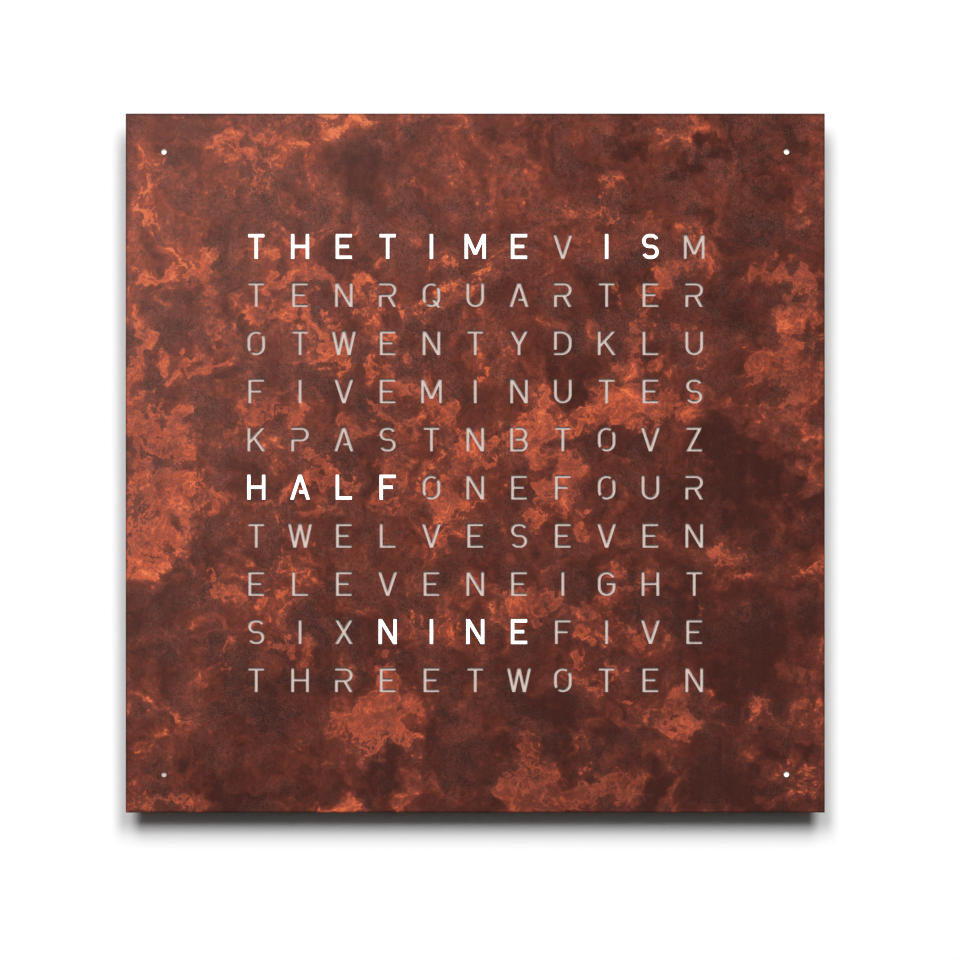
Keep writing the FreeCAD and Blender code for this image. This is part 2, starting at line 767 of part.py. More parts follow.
def rear_housing():
    width, height = 2 * HOUSING_HALF_WIDTH, 2 * HOUSING_HALF_HEIGHT
    inner_width, inner_height = 2 * INNER_HALF_WIDTH, 2 * INNER_HALF_HEIGHT
    inner_radius = HOUSING_CORNER_RADIUS - SIDE_WALL
    tray = rounded_block(0, 0, width, height, HOUSING_CORNER_RADIUS, HOUSING_BACK, RIM)
    tray = tray.cut(rounded_block(0, 0, inner_width, inner_height, inner_radius, FLOOR, RIM))
    added = [disc(0, 0, CENTRE_POST_RADIUS, FLOOR, PANEL_BACK)]
    removed = []
    screw_groups = [
        (panel_screw_places(), PANEL_BACK), (corner_screw_places(), PANEL_BACK),
        (controller_screw_places(), CONTROLLER_BACK), (radio_screw_places(), RADIO_BACK),
    ]
    for places, front in screw_groups:
        added += [post(x, z, front) for x, z in places]
        removed += [post_hole(x, z, front) for x, z in places]
    for x, z in magnet_places():
        added.append(disc(x, z, MAGNET_RADIUS + MAGNET_POST_WALL, FLOOR, POST_FRONT))
        removed.append(disc(x, z, MAGNET_RADIUS, MAGNET_BACK, POST_FRONT))
    for x, z in pin_places():
        bore = PIN_RADIUS + PIN_CLEARANCE
        added.append(disc(x, z, bore + PIN_SOCKET_WALL, FLOOR, POST_FRONT))
        removed.append(disc(x, z, bore, PLATE_BACK + PIN_LENGTH + PIN_RADIUS, POST_FRONT))
    for x, z in hanger_places():
        added.append(block(x, z, HANGER_WIDTH, HANGER_HEIGHT, FLOOR, HANGER_BACK))
        window_width = 2 * (KEYHOLE_HEAD_RADIUS + KEYHOLE_WINDOW_MARGIN)
        window_height = window_width + KEYHOLE_RISE
        radius = window_width / 2 - TOUCH
        removed.append(rounded_block(x, z, window_width, window_height, radius, HOUSING_BACK, HANGER_BACK))
    removed += [post_hole(x, z, HANGER_BACK) for x, z in hanger_screw_places()]
    removed += bottom_wall_openings()
    removed.append(label_recess())
    return tray.fuse(added).cut(removed).removeSplitter()


def label_recess():
    """Shallow bare field on the back, where a rating label would go."""
    front = HOUSING_BACK - LABEL_RECESS_DEPTH
    z = -PANEL_HALF_HEIGHT / 2
    width, height = LABEL_RECESS_WIDTH, LABEL_RECESS_HEIGHT
    return rounded_block(0, z, width, height, LABEL_RECESS_CORNER, HOUSING_BACK, front)


def bottom_wall_openings():
    """Notch for the power socket, round holes for the buttons and the stepped hole of the sensor window."""
    bottom = -HOUSING_HALF_HEIGHT
    inner = -INNER_HALF_HEIGHT
    notch_width = SOCKET_WIDTH + 2 * SOCKET_NOTCH_CLEARANCE
    notch_back = CONTROLLER_FRONT + SOCKET_NOTCH_CLEARANCE
    openings = [block(0, (bottom + inner) / 2, notch_width, SIDE_WALL, notch_back, RIM)]
    openings += [upright(x, SWITCH_AXIS, BUTTON_HOLE_RADIUS, bottom, inner) for x in BUTTON_XS]
    window_hole_radius = SENSOR_WINDOW_RADIUS + SENSOR_WINDOW_CLEARANCE
    openings.append(upright(SENSOR_X, SWITCH_AXIS, window_hole_radius, bottom, inner))
    return openings


def cover_magnets():
    return [disc(x, z, MAGNET_RADIUS, MAGNET_BACK, PLATE_BACK) for x, z in magnet_places()]


def keyhole_hangers():
    hangers = []
    for x, z in hanger_places():
        plate = rounded_block(x, z, HANGER_WIDTH, HANGER_HEIGHT, HANGER_CORNER, HANGER_BACK, HANGER_FRONT)
        low = keyhole_low(z)
        round_end = disc(x, low, KEYHOLE_HEAD_RADIUS, HANGER_BACK, HANGER_FRONT)
        slot = block(x, z, 2 * KEYHOLE_SLOT_RADIUS, KEYHOLE_RISE, HANGER_BACK, HANGER_FRONT)
        slot_end = disc(x, low + KEYHOLE_RISE, KEYHOLE_SLOT_RADIUS, HANGER_BACK, HANGER_FRONT)
        hangers.append(plate.cut([round_end, slot, slot_end]))
    holes = screw_holes(hanger_screw_places(), HANGER_BACK, HANGER_FRONT)
    return [hanger.cut(holes) for hanger in hangers]


def hanger_screws():
    return [screw(x, z, HANGER_FRONT, screw_reach(HANGER_BACK)) for x, z in hanger_screw_places()]


def wall_gasket():
    width = 2 * (HOUSING_HALF_WIDTH - GASKET_INSET)
    height = 2 * (HOUSING_HALF_HEIGHT - GASKET_INSET)
    radius = HOUSING_CORNER_RADIUS - GASKET_INSET
    ring_shape = rounded_block(0, 0, width, height, radius, 0, HOUSING_BACK)
    inside = block(0, 0, width - 2 * GASKET_WIDTH, height - 2 * GASKET_WIDTH, 0, HOUSING_BACK)
    return ring_shape.cut(inside)


# ---------------------------------------------------------------- light engine


def light_baffle_grid():
    width = 2 * GRID_HALF_WIDTH + BAFFLE_WALL
    height = 2 * GRID_HALF_HEIGHT + BAFFLE_WALL
    outline = rectangle_outline(0, 0, width, height, BAFFLE_FRONT)
    cell_width = COLUMN_PITCH - BAFFLE_WALL
    cell_height = ROW_PITCH - BAFFLE_WALL
    cells = [rectangle_outline(x, z, cell_width, cell_height, BAFFLE_FRONT) for _, x, z in letter_places()]
    grid = pierced_sheet(outline, cells, BAFFLE_DEPTH)
    lugs = []
    for side, end in CORNERS:
        lugs.append(block(side * LUG_X, end * LUG_SPREAD, LUG_LENGTH, LUG_WIDTH, PANEL_FRONT, LUG_FRONT))
        lugs.append(block(side * LUG_SPREAD, end * LUG_Z, LUG_WIDTH, LUG_LENGTH, PANEL_FRONT, LUG_FRONT))
    return grid.fuse(lugs).cut(screw_holes(panel_screw_places(), PANEL_FRONT, LUG_FRONT))


def led_matrix_board():
    width, height = 2 * PANEL_HALF_WIDTH, 2 * PANEL_HALF_HEIGHT
    board = rounded_block(0, 0, width, height, BOARD_CORNER, PANEL_BACK, PANEL_FRONT)
    return board.cut(screw_holes(panel_screw_places(), PANEL_BACK, PANEL_FRONT))


def letter_leds():
    front = PANEL_FRONT - LED_THICKNESS
    return [block(x, z, LED_SIZE, LED_SIZE, PANEL_FRONT, front) for _, x, z in letter_places()]


def led_driver_chips():
    back = PANEL_BACK + DRIVER_CHIP_THICKNESS
    chips = []
    for side, end in CORNERS:
        x, z = side * DRIVER_CHIP_X, end * DRIVER_CHIP_Z
        chips.append(block(x, z, DRIVER_CHIP_WIDTH, DRIVER_CHIP_HEIGHT, back, PANEL_BACK))
    return chips


def panel_screws():
    return [screw(x, z, LUG_FRONT, screw_reach(PANEL_BACK)) for x, z in panel_screw_places()]


def minute_light_tubes():
    tubes = []
    for side, end in CORNERS:
        x, z = side * DOT_X, end * DOT_Z
        barrel = disc(x, z, TUBE_RADIUS, PANEL_FRONT, BAFFLE_FRONT)
        width, height = CORNER_BOARD_WIDTH, CORNER_BOARD_HEIGHT
        foot = rounded_block(x, z, width, height, BOARD_CORNER, PANEL_FRONT, LUG_FRONT)
        bore = disc(x, z, TUBE_RADIUS - TUBE_WALL, PANEL_FRONT, BAFFLE_FRONT)
        tubes.append(barrel.fuse(foot).cut(bore))
    holes = screw_holes(corner_screw_places(), PANEL_FRONT, LUG_FRONT)
    return [light_tube.cut(holes) for light_tube in tubes]


def corner_led_boards():
    """Boards a little taller than the feet of the light tubes, on the side where the leads lie."""
    holes = screw_holes(corner_screw_places(), PANEL_BACK, PANEL_FRONT)
    boards = []
    for side, end in CORNERS:
        x, z = side * DOT_X, end * (DOT_Z - CORNER_LEAD_DIAMETER)
        width, height = CORNER_BOARD_WIDTH, CORNER_BOARD_HEIGHT + 2 * CORNER_LEAD_DIAMETER
        board = rounded_block(x, z, width, height, BOARD_CORNER, PANEL_BACK, PANEL_FRONT)
        boards.append(board.cut(holes))
    return boards


def corner_leds():
    front = PANEL_FRONT - LED_THICKNESS
    size = CORNER_LED_SIZE
    return [block(side * DOT_X, end * DOT_Z, size, size, PANEL_FRONT, front) for side, end in CORNERS]


def corner_screws():
    return [screw(x, z, LUG_FRONT, screw_reach(PANEL_BACK)) for x, z in corner_screw_places()]


def corner_leads():
    """Leads that lie on the corner boards and on the border of the matrix board, bent once in between."""
    leads = []
    y = PANEL_FRONT - CORNER_LEAD_DIAMETER / 2
    x = PANEL_HALF_WIDTH - PANEL_BORDER / 2 + BAFFLE_WALL / 2
    z = DOT_Z - CORNER_BOARD_HEIGHT / 2 - CORNER_LEAD_DIAMETER
    for side, end in CORNERS:
        points = [
            Vector(side * (DOT_X - CORNER_LED_SIZE), y, end * z),
            Vector(side * x, y, end * z),
            Vector(side * x, y, end * (PANEL_HALF_HEIGHT - PANEL_BORDER / 2)),
        ]
        leads.append(tube(points, CORNER_LEAD_DIAMETER, CORNER_LEAD_BEND))
    return leads


# ---------------------------------------------------------------- controller


def controller_board():
    width, height = CONTROLLER_WIDTH, CONTROLLER_HEIGHT
    board = rounded_block(0, CONTROLLER_Z, width, height, BOARD_CORNER, CONTROLLER_BACK, CONTROLLER_FRONT)
    return board.cut(screw_holes(controller_screw_places(), CONTROLLER_BACK, CONTROLLER_FRONT))


def controller_screws():
    return [screw(x, z, CONTROLLER_FRONT, screw_reach(CONTROLLER_BACK)) for x, z in controller_screw_places()]


def on_controller(x, z, width, height, thickness):
    """Component that stands on the front of the controller board."""
    return block(x, z, width, height, CONTROLLER_FRONT, CONTROLLER_FRONT - thickness)


def microcontroller():
    size = MICROCONTROLLER_SIZE
    return on_controller(MICROCONTROLLER_X, CONTROLLER_Z + CHIP_RISE, size, size, MICROCONTROLLER_THICKNESS)


def clock_crystal():
    """Metal can with round ends, standing beside the microcontroller."""
    width = 2 * CRYSTAL_RADIUS
    front = CONTROLLER_FRONT - width
    z = CONTROLLER_Z + CHIP_RISE
    return rounded_block(CRYSTAL_X, z, width, CRYSTAL_LENGTH, CRYSTAL_RADIUS - TOUCH, CONTROLLER_FRONT, front)


def voltage_regulator():
    z = CONTROLLER_Z + CHIP_RISE
    return on_controller(REGULATOR_X, z, REGULATOR_WIDTH, REGULATOR_HEIGHT, REGULATOR_THICKNESS)


def smoothing_capacitors():
    front = CONTROLLER_FRONT - CAPACITOR_HEIGHT
    places = (CAPACITOR_X - CAPACITOR_PITCH / 2, CAPACITOR_X + CAPACITOR_PITCH / 2)
    return [disc(x, CONTROLLER_Z + CHIP_RISE, CAPACITOR_RADIUS, CONTROLLER_FRONT, front) for x in places]


def coin_cell_holder():
    """Square cradle with a round well, a base under the cell and a lip over its upper edge."""
    x, z = CELL_X, CONTROLLER_Z
    well = CELL_RADIUS + CELL_CLEARANCE
    size = 2 * (well + CELL_HOLDER_WALL)
    base = CONTROLLER_FRONT - CELL_HOLDER_BASE
    cell_front = base - CELL_THICKNESS
    front = cell_front - CELL_CLEARANCE
    cradle = rounded_block(x, z, size, size, BOARD_CORNER, CONTROLLER_FRONT, front)
    cradle = cradle.cut(disc(x, z, well, base, front))
    lip = block(x, z + well, size / 3, 2 * CELL_HOLDER_WALL, front, front - CELL_HOLDER_LIP)
    return cradle.fuse(lip)


def coin_cell():
    base = CONTROLLER_FRONT - CELL_HOLDER_BASE
    return disc(CELL_X, CONTROLLER_Z, CELL_RADIUS, base, base - CELL_THICKNESS)


def power_socket():
    """Housing of the direct-current inlet, open downwards."""
    z = SOCKET_FACE + SOCKET_LENGTH / 2
    body = on_controller(0, z, SOCKET_WIDTH, SOCKET_LENGTH, SOCKET_HEIGHT)
    bore_end = SOCKET_FACE + SOCKET_BORE_DEPTH
    return body.cut(upright(0, SOCKET_AXIS, SOCKET_BORE_RADIUS, SOCKET_FACE, bore_end))


def power_socket_pin():
    base = SOCKET_FACE + SOCKET_BORE_DEPTH
    return upright(0, SOCKET_AXIS, SOCKET_PIN_RADIUS, base - SOCKET_PIN_LENGTH, base)


def switch_mouth():
    """Plane of the lower face of the switch cases, flush with the board's edge."""
    return CONTROLLER_BOTTOM


def dome_seat():
    """Plane of the bottom of the hollow in a switch case, where the snap dome rests."""
    collar_top = switch_mouth() + SWITCH_FRONT_WALL + BUTTON_CLEARANCE + BUTTON_COLLAR_THICKNESS
    return collar_top + SWITCH_DOME_HEIGHT


def button_switches():
    cases = []
    mouth = switch_mouth()
    for x in BUTTON_XS:
        case = on_controller(x, mouth + SWITCH_DEPTH / 2, SWITCH_WIDTH, SWITCH_DEPTH, SWITCH_HEIGHT)
        throat = upright(x, SWITCH_AXIS, BUTTON_RADIUS + BUTTON_CLEARANCE, mouth, mouth + SWITCH_FRONT_WALL)
        hollow_radius = BUTTON_COLLAR_RADIUS + BUTTON_CLEARANCE
        hollow = upright(x, SWITCH_AXIS, hollow_radius, mouth + SWITCH_FRONT_WALL, dome_seat())
        cases.append(case.cut([throat, hollow]))
    return cases


def button(x):
    """Plunger from below the housing into its switch, with the collar that holds it in."""
    collar = switch_mouth() + SWITCH_FRONT_WALL + BUTTON_CLEARANCE
    tip = -HOUSING_HALF_HEIGHT - BUTTON_PROUD
    shaft = upright(x, SWITCH_AXIS, BUTTON_RADIUS, tip, collar)
    flange = upright(x, SWITCH_AXIS, BUTTON_COLLAR_RADIUS, collar, collar + BUTTON_COLLAR_THICKNESS)
    plunger = shaft.fuse(flange)
    rim = [side for side in plunger.Edges if side.BoundBox.ZMax < tip + TOUCH]
    return plunger.makeFillet(BUTTON_RADIUS / 4, rim)


def switch_dome(x):
    """Shallow cone of spring steel between the plunger and the bottom of the hollow."""
    low = dome_seat() - SWITCH_DOME_HEIGHT
    rim, crown = SWITCH_DOME_RADIUS, SWITCH_DOME_RADIUS / 3
    centre = Vector(x, SWITCH_AXIS, low)
    outer = Part.makeCone(crown, rim, SWITCH_DOME_HEIGHT, centre, Vector(0, 0, 1))
    lifted = centre + Vector(0, 0, SWITCH_DOME_WALL)
    inner_crown, inner_rim = crown - SWITCH_DOME_WALL, rim - SWITCH_DOME_WALL
    inner = Part.makeCone(inner_crown, inner_rim, SWITCH_DOME_HEIGHT, lifted, Vector(0, 0, 1))
    return outer.cut(inner)


def light_sensor():
    """Round-nosed photodiode at the board's edge, carried by a small foot."""
    base = CONTROLLER_BOTTOM + SENSOR_LENGTH / 2
    body = upright(SENSOR_X, SWITCH_AXIS, SENSOR_RADIUS, base - SENSOR_LENGTH, base)
    foot_height = CONTROLLER_FRONT - SWITCH_AXIS
    foot_length = SENSOR_LENGTH / 2
    foot = on_controller(SENSOR_X, base - foot_length / 2, 2 * SENSOR_RADIUS, foot_length, foot_height)
    return body.fuse(foot)


def light_sensor_window():
    bottom, inner = -HOUSING_HALF_HEIGHT, -INNER_HALF_HEIGHT
    lens = upright(SENSOR_X, SWITCH_AXIS, SENSOR_WINDOW_RADIUS, bottom, inner)
    flange = upright(SENSOR_X, SWITCH_AXIS, SENSOR_WINDOW_FLANGE_RADIUS, inner, inner + SENSOR_WINDOW_FLANGE)
    return lens.fuse(flange)


# ---------------------------------------------------------------- ribbon between the boards


def panel_header_z():
    return -PANEL_HALF_HEIGHT + (PANEL_BORDER - BAFFLE_WALL / 2) / 2


def controller_header_z():
    return CONTROLLER_TOP - HEADER_HEIGHT / 2


def header_block(z, back, front):
    """Block with the outline of the ribbon's headers and plugs."""
    return block(RIBBON_X, z, HEADER_WIDTH, HEADER_HEIGHT, back, front)


def ribbon_headers():
    on_panel = header_block(panel_header_z(), PANEL_FRONT, PANEL_FRONT - PANEL_HEADER_DEPTH)
    lower = header_block(controller_header_z(), CONTROLLER_FRONT, CONTROLLER_FRONT - CONTROLLER_HEADER_DEPTH)
    return [on_panel, lower]


def ribbon_plugs():
    panel_seat = PANEL_FRONT - PANEL_HEADER_DEPTH
    lower_seat = CONTROLLER_FRONT - CONTROLLER_HEADER_DEPTH
    on_panel = header_block(panel_header_z(), panel_seat, panel_seat - PLUG_DEPTH)
    lower = header_block(controller_header_z(), lower_seat, lower_seat - PLUG_DEPTH)
    return [on_panel, lower]


def display_ribbon_cable():
    """Flat cable between the two plugs, stepped back to the lower one."""
    upper_y = PANEL_FRONT - PANEL_HEADER_DEPTH - PLUG_DEPTH / 2
    lower_y = CONTROLLER_FRONT - CONTROLLER_HEADER_DEPTH - PLUG_DEPTH / 2
    start = panel_header_z() - HEADER_HEIGHT / 2
    end = CONTROLLER_TOP
    third = (end - start) / 3
    points = [
        Vector(RIBBON_X, upper_y, start), Vector(RIBBON_X, upper_y, start + third),
        Vector(RIBBON_X, lower_y, end - third), Vector(RIBBON_X, lower_y, end),
    ]
    half_width, half_thickness = RIBBON_WIDTH / 2, RIBBON_THICKNESS / 2
    section = []
    for across, deep in [(-1, -1), (1, -1), (1, 1), (-1, 1), (-1, -1)]:
        section.append(Vector(RIBBON_X + across * half_width, upper_y + deep * half_thickness, start))
    return bent_path(points, RIBBON_BEND).makePipeShell([Part.makePolygon(section)], True, True)


# ---------------------------------------------------------------- radio time receiver


def radio_receiver_board():
    width, height = RADIO_BOARD_WIDTH, RADIO_BOARD_HEIGHT
    board = rounded_block(RADIO_BOARD_X, END_BAND_Z, width, height, BOARD_CORNER, RADIO_BACK, RADIO_FRONT)
    return board.cut(screw_holes(radio_screw_places(), RADIO_BACK, RADIO_FRONT))


def radio_chip():
    front = RADIO_FRONT - RADIO_CHIP_THICKNESS
    return block(RADIO_BOARD_X - 3, END_BAND_Z + 1, RADIO_CHIP_SIZE, RADIO_CHIP_SIZE, RADIO_FRONT, front)


def radio_screws():
    return [screw(x, z, RADIO_FRONT, screw_reach(RADIO_BACK)) for x, z in radio_screw_places()]


def rod_axis():
    return FLOOR - CLIP_FLOOR_GAP - ROD_RADIUS


def along_rod(radius, length, x):
    """Cylinder along the antenna rod, centred on x."""
    return Part.makeCylinder(radius, length, Vector(x - length / 2, rod_axis(), END_BAND_Z), Vector(1, 0, 0))


def ferrite_antenna_rod():
    return along_rod(ROD_RADIUS, ROD_LENGTH, ROD_X)


def antenna_coil():
    return along_rod(COIL_RADIUS, COIL_LENGTH, ROD_X).cut(along_rod(ROD_RADIUS, COIL_LENGTH, ROD_X))


def antenna_clips():
    """Saddles that stand on the floor of the tray and hold the rod to its middle."""
    reach = ROD_LENGTH / 2 - CLIP_INSET
    clips = []
    for side in (-1, 1):
        x = ROD_X + side * reach
        saddle = block(x, END_BAND_Z, CLIP_WIDTH, CLIP_HEIGHT, FLOOR, rod_axis())
        clips.append(saddle.cut(along_rod(ROD_RADIUS + ROD_CLEARANCE, ROD_LENGTH, ROD_X)))
    return clips


def antenna_wires():
    """Two enamelled wires from the end of the coil, in front of the clip, down to the receiver board."""
    wires = []
    board_edge = RADIO_BOARD_X - RADIO_BOARD_WIDTH / 2
    front_y = rod_axis() - ANTENNA_WIRE_DIAMETER
    board_y = RADIO_FRONT - ANTENNA_WIRE_DIAMETER / 2
    route = [
        (ROD_X + COIL_LENGTH / 2, front_y), (board_edge - 2 * ANTENNA_WIRE_REACH, front_y),
        (board_edge - ANTENNA_WIRE_REACH / 2, board_y), (board_edge + ANTENNA_WIRE_REACH, board_y),
    ]
    for side in (-1, 1):
        z = END_BAND_Z + side * (ROD_RADIUS + ANTENNA_WIRE_DIAMETER)
        wires.append(tube([Vector(x, y, z) for x, y in route], ANTENNA_WIRE_DIAMETER, ANTENNA_WIRE_BEND))
    return wires


def lead_connectors():
    upper_z = END_BAND_Z - RADIO_BOARD_HEIGHT / 2 + CONNECTOR_HEIGHT / 2
    lower_z = CONTROLLER_TOP - CONNECTOR_HEIGHT / 2
    front = RADIO_FRONT - CONNECTOR_DEPTH
    upper = block(LEAD_X, upper_z, CONNECTOR_WIDTH, CONNECTOR_HEIGHT, RADIO_FRONT, front)
    lower = on_controller(LEAD_X, lower_z, CONNECTOR_WIDTH, CONNECTOR_HEIGHT, CONNECTOR_DEPTH)
    return [upper, lower]


def radio_lead():
    """Round lead that drops behind the matrix board, lies on the tray's floor and rises to the controller."""
    upper_y = RADIO_FRONT - CONNECTOR_DEPTH / 2
    lower_y = CONTROLLER_FRONT - CONNECTOR_DEPTH / 2
    floor_y = FLOOR - LEAD_DIAMETER / 2
    top = END_BAND_Z - RADIO_BOARD_HEIGHT / 2
    bottom = CONTROLLER_TOP
    route = [
        (upper_y, top), (upper_y, top - LEAD_STRAIGHT), (floor_y, top - LEAD_STRAIGHT - LEAD_DROP),
        (floor_y, bottom + LEAD_STRAIGHT + LEAD_DROP), (lower_y, bottom + LEAD_STRAIGHT), (lower_y, bottom),
    ]
    return tube([Vector(LEAD_X, y, z) for y, z in route], LEAD_DIAMETER, LEAD_BEND)


# ---------------------------------------------------------------- output

os.makedirs("parts", exist_ok=True)
NODES = {
    "front_plate": front_plate,
    "letter_diffuser": letter_diffuser,
    "minute_dot_diffusers": minute_dot_diffusers,
    "cover_locating_pins": cover_locating_pins,
    "rear_housing": rear_housing,
    "cover_magnets": cover_magnets,
    "keyhole_hangers": keyhole_hangers,
    "hanger_screws": hanger_screws,
    "wall_gasket": wall_gasket,
    "light_baffle_grid": light_baffle_grid,
    "led_matrix_board": led_matrix_board,
    "letter_leds": letter_leds,
    "led_driver_chips": led_driver_chips,
    "panel_screws": panel_screws,
    "minute_light_tubes": minute_light_tubes,
    "corner_led_boards": corner_led_boards,
    "corner_leds": corner_leds,
    "corner_screws": corner_screws,
    "corner_leads": corner_leads,
    "controller_board": controller_board,
    "controller_screws": controller_screws,
    "microcontroller": microcontroller,
    "clock_crystal": clock_crystal,
    "voltage_regulator": voltage_regulator,
    "smoothing_capacitors": smoothing_capacitors,
    "coin_cell_holder": coin_cell_holder,
    "coin_cell": coin_cell,
    "power_socket": power_socket,
    "power_socket_pin": power_socket_pin,
    "button_switches": button_switches,
    "light_sensor": light_sensor,
    "light_sensor_window": light_sensor_window,
    "ribbon_headers": ribbon_headers,
    "ribbon_plugs": ribbon_plugs,
    "display_ribbon_cable": display_ribbon_cable,
    "radio_receiver_board": radio_receiver_board,
    "radio_chip": radio_chip,
    "radio_screws": radio_screws,
    "ferrite_antenna_rod": ferrite_antenna_rod,
    "antenna_coil": antenna_coil,
    "antenna_clips": antenna_clips,
    "antenna_wires": antenna_wires,
    "lead_connectors": lead_connectors,
    "radio_lead": radio_lead,
}
for name, make in NODES.items():
    write(name, make())
for name, x in zip(BUTTON_NAMES, BUTTON_XS):
    write(name + "_button", button(x))
    write(name + "_switch_dome", switch_dome(x))
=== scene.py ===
import math

import bmesh
import bpy
from mathutils import Matrix, Vector


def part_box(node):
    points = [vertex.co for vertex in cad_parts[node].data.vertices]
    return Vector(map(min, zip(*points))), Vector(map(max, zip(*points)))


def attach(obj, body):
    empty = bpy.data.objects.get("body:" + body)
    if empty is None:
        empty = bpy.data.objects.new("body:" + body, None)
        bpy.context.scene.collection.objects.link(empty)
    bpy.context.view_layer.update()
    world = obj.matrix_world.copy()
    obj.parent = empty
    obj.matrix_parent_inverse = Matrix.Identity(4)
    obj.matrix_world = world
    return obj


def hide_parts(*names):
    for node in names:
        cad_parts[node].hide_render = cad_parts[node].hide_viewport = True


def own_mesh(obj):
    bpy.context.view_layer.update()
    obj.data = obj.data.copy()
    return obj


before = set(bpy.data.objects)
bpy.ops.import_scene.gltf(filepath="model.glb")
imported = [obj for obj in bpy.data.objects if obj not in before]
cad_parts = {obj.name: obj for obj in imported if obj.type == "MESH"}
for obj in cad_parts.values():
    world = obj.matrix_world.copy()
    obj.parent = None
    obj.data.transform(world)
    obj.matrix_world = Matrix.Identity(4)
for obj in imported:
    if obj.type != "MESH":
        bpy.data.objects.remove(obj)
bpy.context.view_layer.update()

# -------------------- rear housing
# The tray that hangs on the wall, injection moulded in black ABS. Its mould was spark eroded, so its skin is
# an even fine grain that scatters the light.

MM = 0.001


def linear(colour):
    """Scene-linear colour of an sRGB hex value."""
    parts = [int(colour[place:place + 2], 16) / 255 for place in (1, 3, 5)]
    return [part / 12.92 if part < 0.04045 else ((part + 0.055) / 1.055) ** 2.4 for part in parts] + [1.0]


def add(tree, kind, sockets=None, stops=(), **settings):
    """Adds a shader node with its settings and its colour stops.

    A socket is linked where it is given a node or another socket, and otherwise takes the value. A value in
    hex is a colour."""
    node = tree.nodes.new("ShaderNode" + kind)
    for name, value in settings.items():
        setattr(node, name, value)
    for socket, value in (sockets or {}).items():
        if isinstance(value, bpy.types.Node):
            value = next(output for output in value.outputs if output.enabled)
        if isinstance(value, bpy.types.NodeSocket):
            tree.links.new(value, node.inputs[socket])
        else:
            node.inputs[socket].default_value = linear(value) if isinstance(value, str) else value
    for step, (position, colour) in enumerate(stops):
        steps = node.color_ramp.elements
        element = steps[step] if step < 2 else steps.new(position)
        element.position, element.color = position, linear(colour)
    return node


def new_material(name):
    """Empty material, with its tree and the place on the object that its patterns read."""
    material = bpy.data.materials.new(name)
    material.use_nodes = True
    material.node_tree.nodes.clear()
    return material, material.node_tree, add(material.node_tree, "TexCoord").outputs["Object"]


def dress(material, *nodes):
    """Gives a material to CAD nodes whose shape is right."""
    for node in nodes:
        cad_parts[node].data.materials.clear()
        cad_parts[node].data.materials.append(material)


def moulded(name, dark, pale, grain_size, depth, roughness):
    """Moulded plastic: a tone that drifts a little over centimetres, and a grain of this size.

    A mould's real grain is finer, and is drawn as coarse as it needs to show."""
    material, tree, place = new_material(name)
    drift = add(tree, "TexNoise", {"Scale": 1 / (60 * MM), "Detail": 3, "Vector": place})
    tone = add(tree, "ValToRGB", {"Fac": drift}, stops=[(0.35, dark), (0.65, pale)])
    grain = add(tree, "TexNoise", {"Scale": 1 / grain_size, "Detail": 2, "Vector": place})
    relief = add(tree, "Bump", {"Strength": 0.5, "Distance": depth, "Height": grain})
    gloss = add(tree, "MapRange", {"To Min": roughness - 0.06, "To Max": roughness + 0.06, "Value": grain})
    skin = {"IOR": 1.5, "Base Color": tone, "Roughness": gloss, "Normal": relief}
    shader = add(tree, "BsdfPrincipled", skin)
    add(tree, "OutputMaterial", {"Surface": shader})
    return material


black_abs = moulded("black_abs_spark_grain", "#161617", "#1f1f21", 0.9 * MM, 0.06 * MM, 0.58)
dress(black_abs, "rear_housing")

# -------------------- wall gasket
# Die-cut ring of closed-cell EPDM foam, glued round the back of the tray. It is soft and matt, and its skin
# shows the cut cells as small pits about a millimetre across, each darker towards its middle with painted
# shade.

foam, tree, place = new_material("epdm_foam_cut_cells")
cells = add(tree, "TexVoronoi", {"Scale": 1 / (1.1 * MM), "Vector": place})
# Each pit is darker towards its middle: painted shade in the pits.
pit_shade = add(tree, "ValToRGB", {"Fac": cells}, stops=[(0.0, "#0b0b0c"), (0.6, "#232325")])
pits = add(tree, "Bump", {"Strength": 0.8, "Distance": 0.15 * MM, "Height": cells})
foam_skin = {"Roughness": 0.95, "Specular IOR Level": 0.2, "Base Color": pit_shade, "Normal": pits}
shader = add(tree, "BsdfPrincipled", foam_skin)
add(tree, "OutputMaterial", {"Surface": shader})
dress(foam, "wall_gasket")

# -------------------- keyhole hangers
# Two stamped plates of zinc-plated sheet steel, each screwed to a pad behind the top edge. The plating is
# pale and slightly blue, with rolling lines along its length and a tone that drifts a little.


def plated(name, dark, pale, line_pitch, roughness, spangle=25 * MM):
    """Metal with fine lines along X from rolling or turning, and a tone that drifts over its spangle.

    The real lines are finer, and are drawn as coarse as they need to show."""
    material, tree, place = new_material(name)
    drift = add(tree, "TexNoise", {"Scale": 1 / spangle, "Detail": 4, "Vector": place})
    tone = add(tree, "ValToRGB", {"Fac": drift}, stops=[(0.3, dark), (0.7, pale)])
    stretched = add(tree, "Mapping", {"Scale": (0.04, 1, 1), "Vector": place})
    lines = add(tree, "TexNoise", {"Scale": 1 / line_pitch, "Detail": 3, "Vector": stretched})
    relief = add(tree, "Bump", {"Strength": 0.35, "Distance": 0.02 * MM, "Height": lines})
    gloss = add(tree, "MapRange", {"To Min": roughness - 0.1, "To Max": roughness + 0.12, "Value": lines})
    skin = {"Metallic": 1.0, "Base Color": tone, "Roughness": gloss, "Normal": relief}
    shader = add(tree, "BsdfPrincipled", skin)
    add(tree, "OutputMaterial", {"Surface": shader})
    return material


zinc = plated("zinc_plated_sheet_steel", "#a3a9ad", "#c9ced2", 0.4 * MM, 0.36)
dress(zinc, "keyhole_hangers")

